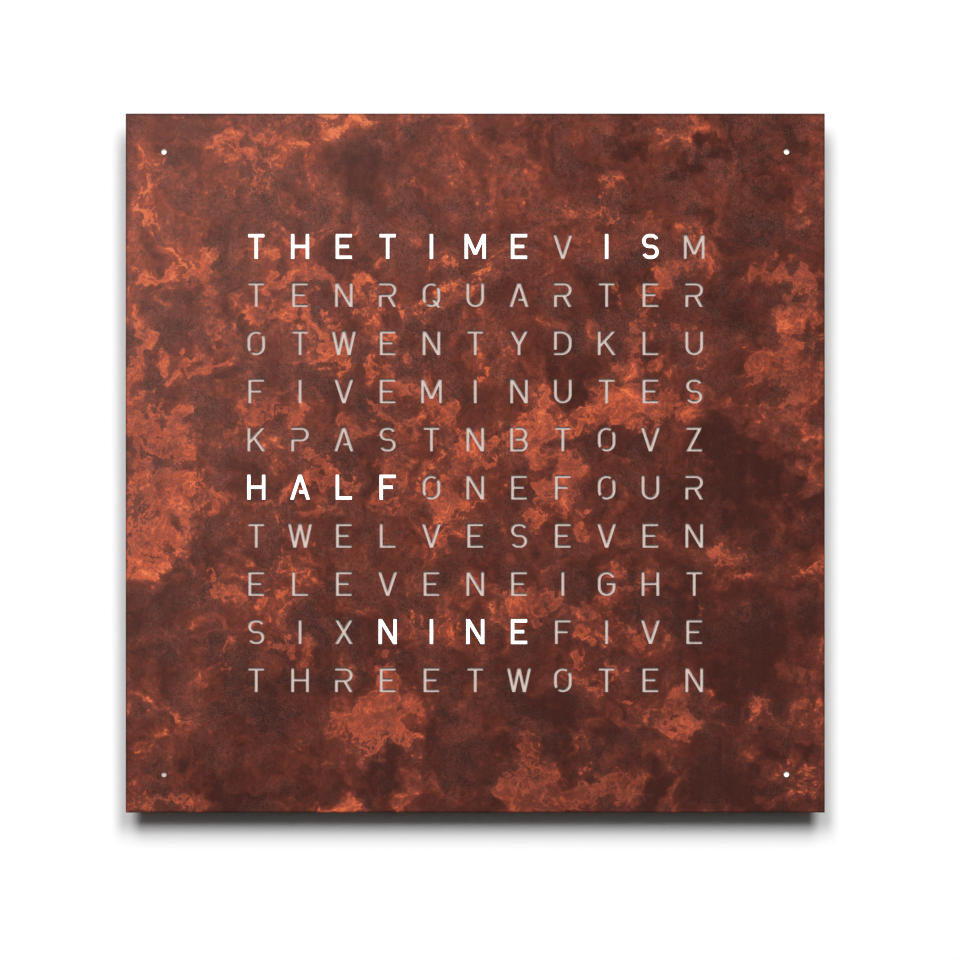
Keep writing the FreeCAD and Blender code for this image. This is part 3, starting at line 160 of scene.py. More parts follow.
# -------------------- screws
# Pan-head screws with a cross recess, cold headed from steel wire and zinc plated. They hold the hangers, the
# light panel, the corner lights and the two small boards. Each group differs only in the length of its shank.

SCREW_HEAD_RADIUS = 2.8 * MM
SCREW_HEAD_HEIGHT = 1.8 * MM
SCREW_SHANK_RADIUS = 1.45 * MM
SCREW_DOME = 0.9 * MM
RECESS_LENGTH = 3.0 * MM
RECESS_WIDTH = 0.7 * MM
RECESS_DEPTH = 1.0 * MM
RECESS_TAPER = 0.6
LUG_FRONT = -11.5 * MM
CONTROLLER_FRONT = -7.1 * MM
CONTROLLER_Z = -191.2 * MM
CONTROLLER_SCREW_X = 76 * MM
CONTROLLER_SCREW_Z = 13 * MM
RADIO_FRONT = -8.1 * MM
RADIO_X = 24 * MM
RADIO_SCREW_X = 13.5 * MM
RADIO_SCREW_Z = 8.5 * MM
TOP_BAND_Z = 188.75 * MM
HANGER_X = 105 * MM
HANGER_SCREW_STEP = 15 * MM
LUG_X = 159.7 * MM
LUG_Z = 159.6 * MM
LUG_STEP = 100 * MM
DOT_REACH = 200.4 * MM
CORNER_SCREW_STEP = 8 * MM
CORNERS = [(side, end) for side in (-1, 1) for end in (-1, 1)]
FACING_OUT = (math.pi / 2, 0, 0)


def start(name, primitive, stretch=(1, 1, 1), **settings):
    """Starts a piece from a primitive, with its size and its place in its mesh."""
    bpy.ops.object.select_all(action="DESELECT")
    primitive(**settings)
    piece = bpy.context.object
    piece.name, piece.scale = name, stretch
    bpy.ops.object.transform_apply()
    return piece


def block(name, low, high):
    """Starts a piece as a box between two corners."""
    middle = [(a + b) / 2 for a, b in zip(low, high)]
    sides = [b - a for a, b in zip(low, high)]
    return start(name, bpy.ops.mesh.primitive_cube_add, sides, size=1, location=middle)


def disc(name, radius, back, front, sides=32):
    """Starts a piece as a disc across the depth, round the Y axis."""
    return start(name, bpy.ops.mesh.primitive_cylinder_add, vertices=sides, radius=radius, depth=back - front,
                 location=(0, (back + front) / 2, 0), rotation=FACING_OUT)


def pick(kind, test):
    """Selects, on the piece in edit mode, only the faces or edges that pass the test."""
    bpy.ops.mesh.select_mode(type=kind)
    bpy.ops.mesh.select_all(action="DESELECT")
    shape = bmesh.from_edit_mesh(bpy.context.object.data)
    for element in [found for found in (shape.faces if kind == "FACE" else shape.edges) if test(found)]:
        element.select_set(True)
    bmesh.update_edit_mesh(bpy.context.object.data)


def faces_front(face):
    return face.normal.y < -0.9


def faces_back(face):
    return face.normal.y > 0.9


def on_plane(y):
    """Test for the edges that lie in the plane y."""
    return lambda edge: all(abs(corner.co.y - y) < 0.01 * MM for corner in edge.verts)


def level(edge):
    """Test for the edges whose ends lie at one depth."""
    return abs(edge.verts[0].co.y - edge.verts[1].co.y) < 0.01 * MM


def edit():
    bpy.ops.object.mode_set(mode="EDIT")


def leave():
    bpy.ops.object.mode_set(mode="OBJECT")


def push(vector):
    """Extrudes the selected faces along a vector."""
    bpy.ops.mesh.extrude_region_move(TRANSFORM_OT_translate={"value": vector})


def soften(offset, test=lambda edge: True):
    """Bevels the edges that pass the test, on the piece in edit mode."""
    pick("EDGE", test)
    bpy.ops.mesh.bevel(offset=offset, segments=2)


def only(piece):
    """Makes a piece the only selected one."""
    bpy.ops.object.select_all(action="DESELECT")
    piece.select_set(True)
    bpy.context.view_layer.objects.active = piece


def carve(piece, cutter):
    """Cuts one piece out of another, and throws the cutter away."""
    only(piece)
    cut = piece.modifiers.new("cut", "BOOLEAN")
    cut.object, cut.operation, cut.solver = cutter, "DIFFERENCE", "EXACT"
    bpy.ops.object.modifier_apply(modifier="cut")
    bpy.data.objects.remove(cutter)


def join(name, pieces):
    """Joins pieces into one."""
    bpy.ops.object.select_all(action="DESELECT")
    for piece in pieces:
        piece.select_set(True)
    bpy.context.view_layer.objects.active = pieces[0]
    bpy.ops.object.join()
    pieces[0].name = name
    return pieces[0]


def moved(piece, x, z, turn=0):
    """Copy of a piece, with its own mesh, turned round the Y axis in degrees and then moved."""
    copy = piece.copy()
    copy.data = piece.data.copy()
    copy.data.transform(Matrix.Translation((x, 0, z)) @ Matrix.Rotation(math.radians(turn), 4, "Y"))
    bpy.context.collection.objects.link(copy)
    return copy


def repeat(name, piece, places):
    """Copies a finished piece to each of these places, and joins the copies."""
    copies = [moved(piece, *place) for place in places]
    bpy.data.objects.remove(piece)
    return join(name, copies)


def settle(piece, body, node):
    """Shades a piece, and says which body carries it and which node it replaces."""
    only(piece)
    bpy.ops.object.shade_smooth_by_angle(angle=math.radians(32))
    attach(piece, body)
    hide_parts(node)


def paint(piece, material, test=lambda face: True):
    """Gives a material to the faces of a piece that pass the test."""
    piece.data.materials.append(material)
    for face in piece.data.polygons:
        if test(face):
            face.material_index = len(piece.data.materials) - 1


screw_zinc = plated("zinc_plated_screw_steel", "#8f9497", "#bfc4c8", 0.5 * MM, 0.32, 3 * MM)


def pan_head_screw(seat, tip):
    """Pan-head screw on the Y axis: a domed head with a cross recess in front of its seat, and its shank."""
    top = seat - SCREW_HEAD_HEIGHT
    screw = disc("screw", SCREW_HEAD_RADIUS, seat, top)
    edit()
    pick("EDGE", on_plane(top))
    bpy.ops.mesh.bevel(offset=SCREW_DOME, segments=4, profile=0.6)
    pick("FACE", faces_back)
    bpy.ops.mesh.inset(thickness=SCREW_HEAD_RADIUS - SCREW_SHANK_RADIUS)
    push((0, tip - seat, 0))
    leave()
    for width, height in ((RECESS_LENGTH, RECESS_WIDTH), (RECESS_WIDTH, RECESS_LENGTH)):
        half = Vector((width / 2, RECESS_DEPTH, height / 2))
        cutter = block("cutter", Vector((0, top, 0)) - half, Vector((0, top, 0)) + half)
        edit()
        pick("FACE", faces_back)
        bpy.ops.transform.resize(value=(RECESS_TAPER, 1, RECESS_TAPER))
        leave()
        carve(screw, cutter)
    paint(screw, screw_zinc)
    return screw


hanger_places = [(end * HANGER_X + side * HANGER_SCREW_STEP, TOP_BAND_Z) for end, side in CORNERS]
lug_places = [(side * LUG_X, end * LUG_STEP) for side, end in CORNERS]
lug_places += [(side * LUG_STEP, end * LUG_Z) for side, end in CORNERS]
corner_places = [
    (side * DOT_REACH + step * CORNER_SCREW_STEP, end * DOT_REACH)
    for side, end in CORNERS for step in (-1, 1)
]
controller_places = [
    (side * CONTROLLER_SCREW_X, CONTROLLER_Z + end * CONTROLLER_SCREW_Z) for side, end in CORNERS
]
receiver_places = [(RADIO_X + side * RADIO_SCREW_X, TOP_BAND_Z + side * RADIO_SCREW_Z) for side in (-1, 1)]
for node, seat, tip, places in (
    ("hanger_screws", -8.0 * MM, -2.8 * MM, hanger_places),
    ("panel_screws", LUG_FRONT, -4.7 * MM, lug_places),
    ("corner_screws", LUG_FRONT, -4.7 * MM, corner_places),
    ("controller_screws", CONTROLLER_FRONT, -2.55 * MM, controller_places),
    ("radio_screws", RADIO_FRONT, -2.8 * MM, receiver_places),
):
    # Each head stopped at its own angle, so the recesses don't line up.
    turned = [(x, z, 37 * number % 90) for number, (x, z) in enumerate(places)]
    settle(repeat("pan_head_" + node, pan_head_screw(seat, tip), turned), "housing", node)

# -------------------- cover magnets
# Eight nickel-plated neodymium discs, pressed into posts of the tray. The plating is warm and bright with
# fine handling marks, and each edge is tumbled round.

MAGNET_RADIUS = 8.0 * MM
MAGNET_EDGE = 0.4 * MM
SIDE_MAGNET_X = 188.8 * MM
SIDE_MAGNET_Z = 70 * MM
END_MAGNET_X = 142 * MM
nickel = plated("nickel_plated_neodymium", "#b5afa4", "#d3cec4", 1.2 * MM, 0.2, 6 * MM)
magnet_low, magnet_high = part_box("cover_magnets")
magnet = disc("magnet", MAGNET_RADIUS, magnet_high.y, magnet_low.y, 64)
edit()
pick("EDGE", level)
bpy.ops.mesh.bevel(offset=MAGNET_EDGE, segments=3)
leave()
paint(magnet, nickel)
magnet_places = [(side * SIDE_MAGNET_X, end * SIDE_MAGNET_Z) for side, end in CORNERS]
magnet_places += [(side * END_MAGNET_X, end * TOP_BAND_Z) for side, end in CORNERS]
settle(repeat("tumbled_magnets", magnet, magnet_places), "housing", "cover_magnets")

# -------------------- circuit boards
# Glass-fibre boards under a green solder mask. Copper tracks raise the mask a little and show paler, tinned
# holes join the layers, dark at their middles with painted shade, and the sawn edges show the straw-coloured
# glass fibre. Nothing is printed on them.

TRACK_PITCH = 1.4 * MM
TRACK_WIDTH = 0.5 * MM
PATCH = 16 * MM
VIA_PITCH = 7 * MM
VIA_RING = 0.07
VIA_HOLE = 0.035

board_mask, tree, place = new_material("glass_fibre_board_green_mask")
axes = add(tree, "SeparateXYZ", {"Vector": place})
patches = add(tree, "TexVoronoi", {
    "Scale": 1 / PATCH, "Randomness": 0.8, "Vector": place,
}, distance="CHEBYCHEV")
chance = add(tree, "SeparateColor", {"Color": patches.outputs["Color"]})
tracks = []
for axis in ("X", "Z"):
    ramp = add(tree, "Math", {1: TRACK_PITCH / 2, 0: axes.outputs[axis]}, operation="PINGPONG")
    tracks.append(add(tree, "MapRange", {
        "Value": ramp, "From Min": TRACK_WIDTH * 0.4, "From Max": TRACK_WIDTH * 0.6,
        "To Min": 1.0, "To Max": 0.0,
    }))
upright = add(tree, "Math", {1: 0.5, 0: chance.outputs["Red"]}, operation="GREATER_THAN")
routed = add(tree, "Mix", {0: upright, 2: tracks[0], 3: tracks[1]})
present = add(tree, "Math", {1: 0.4, 0: chance.outputs["Green"]}, operation="GREATER_THAN")
copper_below = add(tree, "Math", {0: routed, 1: present}, operation="MULTIPLY")
# The sizes of a tinned hole and of the ring round it are shares of their pitch.
vias = add(tree, "TexVoronoi", {"Scale": 1 / VIA_PITCH, "Vector": place})
ring = add(tree, "MapRange", {
    "Value": vias, "From Min": VIA_RING, "From Max": VIA_RING + 0.02, "To Min": 1.0, "To Max": 0.0,
})
# The middle of each hole is painted near black: painted shade, as no hole is cut in the board.
hole_shade = add(tree, "Math", {1: VIA_HOLE, 0: vias}, operation="LESS_THAN")
weave = add(tree, "TexNoise", {"Scale": 1 / (1.5 * MM), "Detail": 2, "Vector": place})
facing = add(tree, "SeparateXYZ", {"Vector": add(tree, "TexCoord").outputs["Normal"]})
flat = add(tree, "Math", {0: facing.outputs["Y"]}, operation="ABSOLUTE")
sawn = add(tree, "Math", {1: 0.5, 0: flat}, operation="LESS_THAN")
# The mask, and over it the tracks, the rings, the painted shade of the holes and the sawn edges.
tone = add(tree, "ValToRGB", {"Fac": weave}, stops=[(0.3, "#0d3d24"), (0.7, "#124a2d")])
for colour, cover in (("#1f6b42", copper_below), ("#b9b6ab", ring), ("#0a0a08", hole_shade), ("#a3935c", sawn)):
    tone = add(tree, "Mix", {0: cover, 6: tone, 7: colour}, data_type="RGBA")
height = add(tree, "Math", {0: copper_below, 1: ring}, operation="ADD")
raised = add(tree, "Bump", {"Strength": 0.5, "Distance": 0.04 * MM, "Height": height})
shader = add(tree, "BsdfPrincipled", {"Roughness": 0.38, "Base Color": tone, "Normal": raised})
add(tree, "OutputMaterial", {"Surface": shader})
dress(board_mask, "led_matrix_board", "corner_led_boards", "controller_board", "radio_receiver_board")

# -------------------- LEDs
# One package for each letter and each corner: a white resin cup moulded on a tinned frame, with a round well
# full of yellow phosphor gel. Those behind the words that tell the time are on.

PANEL_FRONT = -10.0 * MM
COLUMN_PITCH = 28.2 * MM
ROW_PITCH = 31.0 * MM
COLUMNS = 11
ROWS = 10
# Rows from the top, each with the first and last column of its lit words.
LIT_WORDS = ((0, 0, 6), (0, 8, 9), (5, 0, 3), (8, 3, 6))
LIT = {(column, row) for row, first, last in LIT_WORDS for column in range(first, last + 1)}
CELLS = [(column, row) for row in range(ROWS) for column in range(COLUMNS)]


def cell_place(column, row):
    """Centre of a letter's cell."""
    return (column - (COLUMNS - 1) / 2) * COLUMN_PITCH, ((ROWS - 1) / 2 - row) * ROW_PITCH


cup_white = moulded("white_led_resin", "#dcdad2", "#e8e6df", 0.5 * MM, 0.01 * MM, 0.42)
tinned_lead = plated("tinned_copper_lead", "#a9a8a2", "#c6c5bf", 0.3 * MM, 0.34, 2 * MM)


def gel(name, glow):
    """Phosphor gel: yellow grains in clear silicone, glossy, and white-hot to the eye when it glows."""
    material, tree, place = new_material(name)
    grains = add(tree, "TexNoise", {"Scale": 1 / (0.25 * MM), "Detail": 2, "Vector": place})
    tone = add(tree, "ValToRGB", {"Fac": grains}, stops=[(0.3, "#cfae3c"), (0.7, "#e6cf6a")])
    light = {"Base Color": tone, "Roughness": 0.2, "Emission Color": "#fff6e4", "Emission Strength": glow}
    shader = add(tree, "BsdfPrincipled", light)
    add(tree, "OutputMaterial", {"Surface": shader})
    material.cycles.emission_sampling = "NONE"
    return material


dark_gel = gel("phosphor_gel_off", 0.0)
lit_gel = gel("phosphor_gel_on", 6.0)
LED_THICKNESS = 1.6 * MM
WELL_DEPTH = 0.35 * MM
# Shares of half the package's width.
CUP, WELL, FOOT, FOOT_STEP = 0.92, 0.72, 0.2, 0.66


def led_package(size, phosphor):
    """LED on the Y axis: a cup, its round well with the gel, and three soldered feet on each of two sides."""
    half, front = size / 2, PANEL_FRONT - LED_THICKNESS
    cup = block("led_cup", (-half * CUP, front, -half), (half * CUP, PANEL_FRONT, half))
    carve(cup, disc("well", half * WELL, front + WELL_DEPTH, front - 0.1 * MM, 16))
    paint(cup, cup_white)
    paint(cup, phosphor, lambda face: face.normal.y < -0.9 and face.center.y > front + WELL_DEPTH / 2)
    feet = []
    for side in (-1, 1):
        for step in (-1, 0, 1):
            inner, outer = sorted((side * half * CUP, side * half))
            z, foot = step * half * FOOT_STEP, half * FOOT
            low = (inner, PANEL_FRONT - LED_THICKNESS * 0.45, z - foot)
            feet.append(block("foot", low, (outer, PANEL_FRONT, z + foot)))
            paint(feet[-1], tinned_lead)
    return join("led", [cup] + feet)


for name, phosphor, cells in (
    ("letter_leds_on", lit_gel, [cell for cell in CELLS if cell in LIT]),
    ("letter_leds_off", dark_gel, [cell for cell in CELLS if cell not in LIT]),
):
    led = led_package(5.0 * MM, phosphor)
    piece = repeat(name, led, [cell_place(column, row) for column, row in cells])
    settle(piece, "housing", "letter_leds")
for name, phosphor, corners in (
    ("corner_leds_on", lit_gel, [(-1, 1), (1, 1), (1, -1)]),
    ("corner_led_off", dark_gel, [(-1, -1)]),
):
    led = led_package(3.5 * MM, phosphor)
    piece = repeat(name, led, [(side * DOT_REACH, end * DOT_REACH) for side, end in corners])
    settle(piece, "housing", "corner_leds")

# -------------------- light baffle and corner light tubes
# White ABS mouldings that keep the light of each letter and dot apart. The plastic holds much white pigment
# and has the satin skin of a polished mould, with faint flow marks.

white_abs = moulded("white_abs_satin", "#d6d5d0", "#e3e2dd", 1.6 * MM, 0.02 * MM, 0.46)
dress(white_abs, "light_baffle_grid", "minute_light_tubes", "antenna_clips")

# -------------------- chips
# Packages of black epoxy on tinned leads that are bent down to the board: four display drivers behind the
# matrix board, the microcontroller, the receiver chip and the voltage regulator. Their tops are bare.

epoxy = moulded("black_moulded_epoxy", "#141415", "#1c1c1d", 0.35 * MM, 0.02 * MM, 0.5)
PANEL_BACK = -8.4 * MM
LEAD_THICKNESS = 0.2 * MM
LEAD_REACH = 1.0 * MM
BODY_EDGE = 0.12 * MM
STAND_OFF = 0.1 * MM
DIMPLE_RADIUS = 0.5 * MM
DIMPLE_DEPTH = 0.1 * MM


def gull_lead(reach, seat, shoulder, width):
    """Bent lead that starts at the origin of X, leaves the body at its shoulder and ends on the board.

    A quarter of its reach is straight, a quarter slopes to the board, and half is its foot."""
    down = seat - shoulder - math.copysign(LEAD_THICKNESS, seat - shoulder)
    low = (0, min(shoulder, shoulder + LEAD_THICKNESS), -width / 2)
    lead = block("lead", low, (reach * 0.25, low[1] + LEAD_THICKNESS, width / 2))
    edit()
    for step in ((reach * 0.25, down, 0), (reach * 0.5, 0, 0)):
        pick("FACE", lambda face: face.normal.x > 0.6 and face.calc_center_median().x > reach * 0.24)
        outermost = max(face.calc_center_median().x for face in bmesh.from_edit_mesh(lead.data).faces)
        pick("FACE", lambda face: face.calc_center_median().x > outermost - 0.001 * MM)
        push(step)
    leave()
    paint(lead, tinned_lead)
    return lead


def chip(name, centre, size, seat, top, rows, pitch, body=None):
    """Chip with its body, a dimple that marks its first lead, and its rows of leads.

    Each row is the angle of its side and the number of its leads."""
    x, z = centre
    width, height = body or [side - 2 * LEAD_REACH for side in size]
    floor, roof = sorted((seat + math.copysign(STAND_OFF, top - seat), top))
    package = block("package", (-width / 2, floor, -height / 2), (width / 2, roof, height / 2))
    edit()
    soften(BODY_EDGE)
    leave()
    dimple = disc("dimple", DIMPLE_RADIUS, top + DIMPLE_DEPTH, top - DIMPLE_DEPTH, 16)
    dimple.data.transform(Matrix.Translation((-width * 0.34, 0, height * 0.34)))
    carve(package, dimple)
    paint(package, epoxy)
    parts = [package]
    for angle, count in rows:
        across = angle % 180 == 90
        half_body, half_size = (height / 2, size[1] / 2) if across else (width / 2, size[0] / 2)
        lead = gull_lead(half_size - half_body, seat, (floor + roof) / 2, pitch * 0.4)
        for number in range(count):
            along = (number - (count - 1) / 2) * pitch
            out = Vector((half_body, 0, along))
            out.rotate(Matrix.Rotation(math.radians(angle), 3, "Y"))
            parts.append(moved(lead, out.x, out.z, angle))
        bpy.data.objects.remove(lead)
    whole = join(name, parts)
    whole.data.transform(Matrix.Translation((x, 0, z)))
    return whole


SIDES = (0, 180)
ALL_SIDES = (0, 90, 180, 270)
DRIVER_SIZE = (10.3 * MM, 7.5 * MM)
# The row of parts on the controller board.
PARTS_Z = CONTROLLER_Z + 3 * MM
driver_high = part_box("led_driver_chips")[1]
driver_x, driver_z = driver_high.x - DRIVER_SIZE[0] / 2, driver_high.z - DRIVER_SIZE[1] / 2
drivers = [
    chip("driver", (side * driver_x, end * driver_z), DRIVER_SIZE, PANEL_BACK, driver_high.y,
         [(angle, 5) for angle in SIDES], 1.27 * MM, (7.5 * MM, 7.5 * MM))
    for side, end in CORNERS
]
settle(join("driver_packages", drivers), "housing", "led_driver_chips")
brain = chip("controller_package", (-58 * MM, PARTS_Z), (10 * MM, 10 * MM), CONTROLLER_FRONT,
             CONTROLLER_FRONT - 1.4 * MM, [(angle, 9) for angle in ALL_SIDES], 0.8 * MM)
settle(brain, "housing", "microcontroller")
receiver = chip("receiver_package", (21 * MM, TOP_BAND_Z + 1 * MM), (5 * MM, 5 * MM), RADIO_FRONT,
                RADIO_FRONT - 1.2 * MM, [(angle, 6) for angle in SIDES], 0.65 * MM, (3.6 * MM, 4.8 * MM))
settle(receiver, "housing", "radio_chip")

# The regulator is larger, with a tinned cooling tab at its top and two legs below.
REGULATOR_X = 17 * MM
TAB_HALF = 2.6 * MM
TAB_THICKNESS = 0.6 * MM
regulator_low, regulator_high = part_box("voltage_regulator")
middle_z = (regulator_low.z + regulator_high.z) / 2
regulator = chip("regulator_package", (REGULATOR_X, middle_z), (6.6 * MM, 9.6 * MM), CONTROLLER_FRONT,
                 regulator_low.y, [(90, 2)], 4.6 * MM, (6.4 * MM, 6.4 * MM))
tab = block("tab", (REGULATOR_X - TAB_HALF, CONTROLLER_FRONT - TAB_THICKNESS, middle_z),
            (REGULATOR_X + TAB_HALF, CONTROLLER_FRONT, regulator_high.z))
edit()
soften(0.4 * MM, lambda edge: not level(edge))
leave()
paint(tab, tinned_lead)
settle(join("regulator_with_tab", [regulator, tab]), "housing", "voltage_regulator")

# -------------------- crystal
# The quartz that keeps the time, in a drawn can of nickel silver with a plain satin finish.

nickel_silver = plated("nickel_silver_can", "#a5a39c", "#bfbdb6", 0.5 * MM, 0.3, 4 * MM)
dress(nickel_silver, "clock_crystal")

# -------------------- smoothing capacitors
# Two electrolytic capacitors in drawn aluminium cans, crimped on a black base. A dark segment on top marks
# the negative side.

CAN_RADIUS = 4.0 * MM
CRIMP = 1.6 * MM
DARK_FROM = 1.2 * MM
can_bright = plated("drawn_aluminium_can", "#b3b5b8", "#d0d2d4", 0.8 * MM, 0.28, 5 * MM)
nylon = moulded("black_nylon", "#121213", "#1a1a1b", 0.6 * MM, 0.03 * MM, 0.48)
can_low, can_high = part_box("smoothing_capacitors")
can = disc("can", CAN_RADIUS, can_high.y, can_low.y, 40)
edit()
for y in (can_high.y - CRIMP * 0.7, can_high.y - CRIMP, can_high.y - CRIMP * 1.3):
    bpy.ops.mesh.select_all(action="SELECT")
    bpy.ops.mesh.bisect(plane_co=(0, y, 0), plane_no=(0, 1, 0))
pick("EDGE", on_plane(can_high.y - CRIMP))
bpy.ops.transform.resize(value=(0.9, 1, 0.9))
pick("EDGE", on_plane(can_low.y))
bpy.ops.mesh.bevel(offset=0.5 * MM, segments=3)
bpy.ops.mesh.select_all(action="SELECT")
bpy.ops.mesh.bisect(plane_co=(DARK_FROM, 0, 0), plane_no=(1, 0, 0))
leave()
paint(can, can_bright)
paint(can, nylon, lambda face: face.center.y > can_high.y - CRIMP * 0.7)
paint(can, epoxy, lambda face: face.normal.y < -0.99 and face.center.x > DARK_FROM)
cans = repeat("crimped_cans", can, [(x * MM, PARTS_Z) for x in (-1, 8)])
settle(cans, "housing", "smoothing_capacitors")

# -------------------- coin cell and holder
# The stainless-steel cell that keeps the time with the power off, bare of marks, in a holder of black nylon.
# The cell's lid is crimped over its edge.

CELL_RADIUS = 10.0 * MM
CELL_X = 56 * MM
stainless = plated("stainless_cell_lid", "#a9a9a8", "#cccccb", 0.9 * MM, 0.26, 8 * MM)
cell_low, cell_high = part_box("coin_cell")
cell = disc("cell", CELL_RADIUS, cell_high.y, cell_low.y, 72)
edit()
pick("FACE", faces_front)
bpy.ops.mesh.inset(thickness=0.7 * MM)
push((0, 0.2 * MM, 0))
bpy.ops.mesh.inset(thickness=0.3 * MM)
soften(0.12 * MM, on_plane(cell_low.y))
leave()
paint(cell, stainless)
cell.data.transform(Matrix.Translation((CELL_X, 0, CONTROLLER_Z)))
cell.name = "crimped_cell"
settle(cell, "housing", "coin_cell")
dress(nylon, "coin_cell_holder", "power_socket", "button_switches")

# -------------------- power socket
# The inlet's black shell is of the same nylon, and its centre contact is turned brass under thin gold.

gold_flash = plated("gold_flashed_brass", "#b88a3c", "#d7b05c", 0.4 * MM, 0.24, 2 * MM)
dress(gold_flash, "power_socket_pin")

# -------------------- buttons
# Four plungers of black acetal, waxy and smoother than the tray. Each stands on a round snap dome inside its
# switch, pressed from thin spring steel. The dome is drawn at rest, though the real one flattens as the
# plunger goes in.

DOME_WALL = 0.15 * MM
DOME_GAP = 0.02 * MM
acetal = moulded("black_acetal", "#222223", "#2b2b2c", 0.8 * MM, 0.01 * MM, 0.36)
spring_steel = plated("spring_steel_dome", "#9a9b9c", "#bcbdbe", 0.2 * MM, 0.25, 1 * MM)


def ball(name, middle, radius):
    """Starts a piece as a ball."""
    return start(name, bpy.ops.mesh.primitive_uv_sphere_add, segments=48, ring_count=40, radius=radius,
                 location=middle)


for button in ("hour", "minute", "mode", "brightness"):
    dress(acetal, button + "_button")
    low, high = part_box(button + "_switch_dome")
    rim, rise = (high.x - low.x) / 2, high.z - low.z - DOME_GAP
    radius = (rise * rise + rim * rim) / (2 * rise)
    middle = Vector(((low.x + high.x) / 2, (low.y + high.y) / 2, high.z - rise + radius))
    dome = ball(button + "_snap_dome", middle, radius)
    carve(dome, ball("hollow", middle, radius - DOME_WALL))
    # Only the cap of the ball below its seat stays.
    reach = 1.1 * radius
    above = block("above", (middle.x - reach, middle.y - reach, high.z), [along + reach for along in middle])
    carve(dome, above)
    paint(dome, spring_steel)
    settle(dome, "housing", button + "_switch_dome")
    seat = (middle.x, middle.y, high.z)
    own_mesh(dome)

# -------------------- light sensor and its window
# A photodiode in clear epoxy, and in front of it a small window of clear polycarbonate. Both are faintly
# smoky, so that their edges read against the black tray.

clear, tree, place = new_material("clear_polycarbonate")
haze = add(tree, "TexNoise", {"Scale": 1 / (2 * MM), "Detail": 2, "Vector": place})
smoke = add(tree, "ValToRGB", {"Fac": haze}, stops=[(0.3, "#c3ccd0"), (0.7, "#dfe5e8")])
glassy = {"Base Color": smoke, "Roughness": 0.08, "IOR": 1.58, "Transmission Weight": 0.85}
shader = add(tree, "BsdfPrincipled", glassy)
add(tree, "OutputMaterial", {"Surface": shader})
dress(clear, "light_sensor", "light_sensor_window")

# -------------------- display ribbon, its headers and plugs
# A flat grey cable of sixteen PVC-covered wires with its first wire red, pressed into black plugs that sit on
# shrouded headers. The grey is darker in the grooves between the wires, which is painted shade.

WIRE_PITCH = 1.27 * MM
RIBBON_LEFT = -30 * MM
ribbon_pvc, tree, place = new_material("ribbon_cable_pvc")
axes = add(tree, "SeparateXYZ", {"Vector": place})
across = add(tree, "Math", {1: RIBBON_LEFT, 0: axes.outputs["X"]}, operation="SUBTRACT")
wire = add(tree, "Math", {1: WIRE_PITCH / 2, 0: across}, operation="PINGPONG")
round_wire = add(tree, "MapRange", {"From Max": WIRE_PITCH / 2, "Value": wire})
# Dark in the grooves and pale on the crowns of the wires: painted shade that follows the ribs.
grey = add(tree, "ValToRGB", {"Fac": round_wire}, stops=[(0.0, "#6c6d70"), (0.45, "#a2a3a6")])
first = add(tree, "Math", {1: WIRE_PITCH, 0: across}, operation="LESS_THAN")
red = add(tree, "Mix", {7: "#a02a22", 0: first, 6: grey}, data_type="RGBA")
ribs = add(tree, "Bump", {"Strength": 0.8, "Distance": 0.3 * MM, "Height": round_wire})
shader = add(tree, "BsdfPrincipled", {"Roughness": 0.45, "Base Color": red, "Normal": ribs})
add(tree, "OutputMaterial", {"Surface": shader})
dress(ribbon_pvc, "display_ribbon_cable")

HEADER_X = -20 * MM
HEADER_HALF = Vector((11.5 * MM, 0, 3.2 * MM))
PLUG_DEPTH = 2.6 * MM
CONTROLLER_HEADER_Z = -177.4 * MM
plugs, headers = [], []
panel_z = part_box("ribbon_headers")[1].z - HEADER_HALF.z
for z, seat, depth in ((panel_z, PANEL_FRONT, 3.0 * MM), (CONTROLLER_HEADER_Z, CONTROLLER_FRONT, 4.0 * MM)):
    rim = seat - depth
    low, high = Vector((HEADER_X, 0, z)) - HEADER_HALF, Vector((HEADER_X, 0, z)) + HEADER_HALF
    header = block("header", (low.x, rim, low.z), (high.x, seat, high.z))
    edit()
    pick("FACE", lambda face: abs(face.normal.x) > 0.9)
    bpy.ops.mesh.inset(thickness=0.8 * MM)
    bpy.ops.mesh.extrude_region_shrink_fatten(TRANSFORM_OT_shrink_fatten={"value": -0.5 * MM})
    leave()
    headers.append(header)
    plug = block("plug", (low.x, rim - PLUG_DEPTH, low.z), (high.x, rim, high.z))
    edit()
    soften(0.35 * MM)
    pick("FACE", lambda face: faces_front(face) and face.calc_area() > 50 * MM * MM)
    bpy.ops.mesh.inset(thickness=1.0 * MM)
    push((0, 0.4 * MM, 0))
    leave()
    plugs.append(plug)
for name, parts in (("ribbon_headers", headers), ("ribbon_plugs", plugs)):
    piece = join("moulded_" + name, parts)
    paint(piece, nylon)
    settle(piece, "housing", name)

# -------------------- radio antenna
# A rod of sintered ferrite, charcoal grey and faintly glittering, with a coil of enamelled copper wire wound
# round its middle. Two thin wires of the same enamelled copper lead to the receiver board.

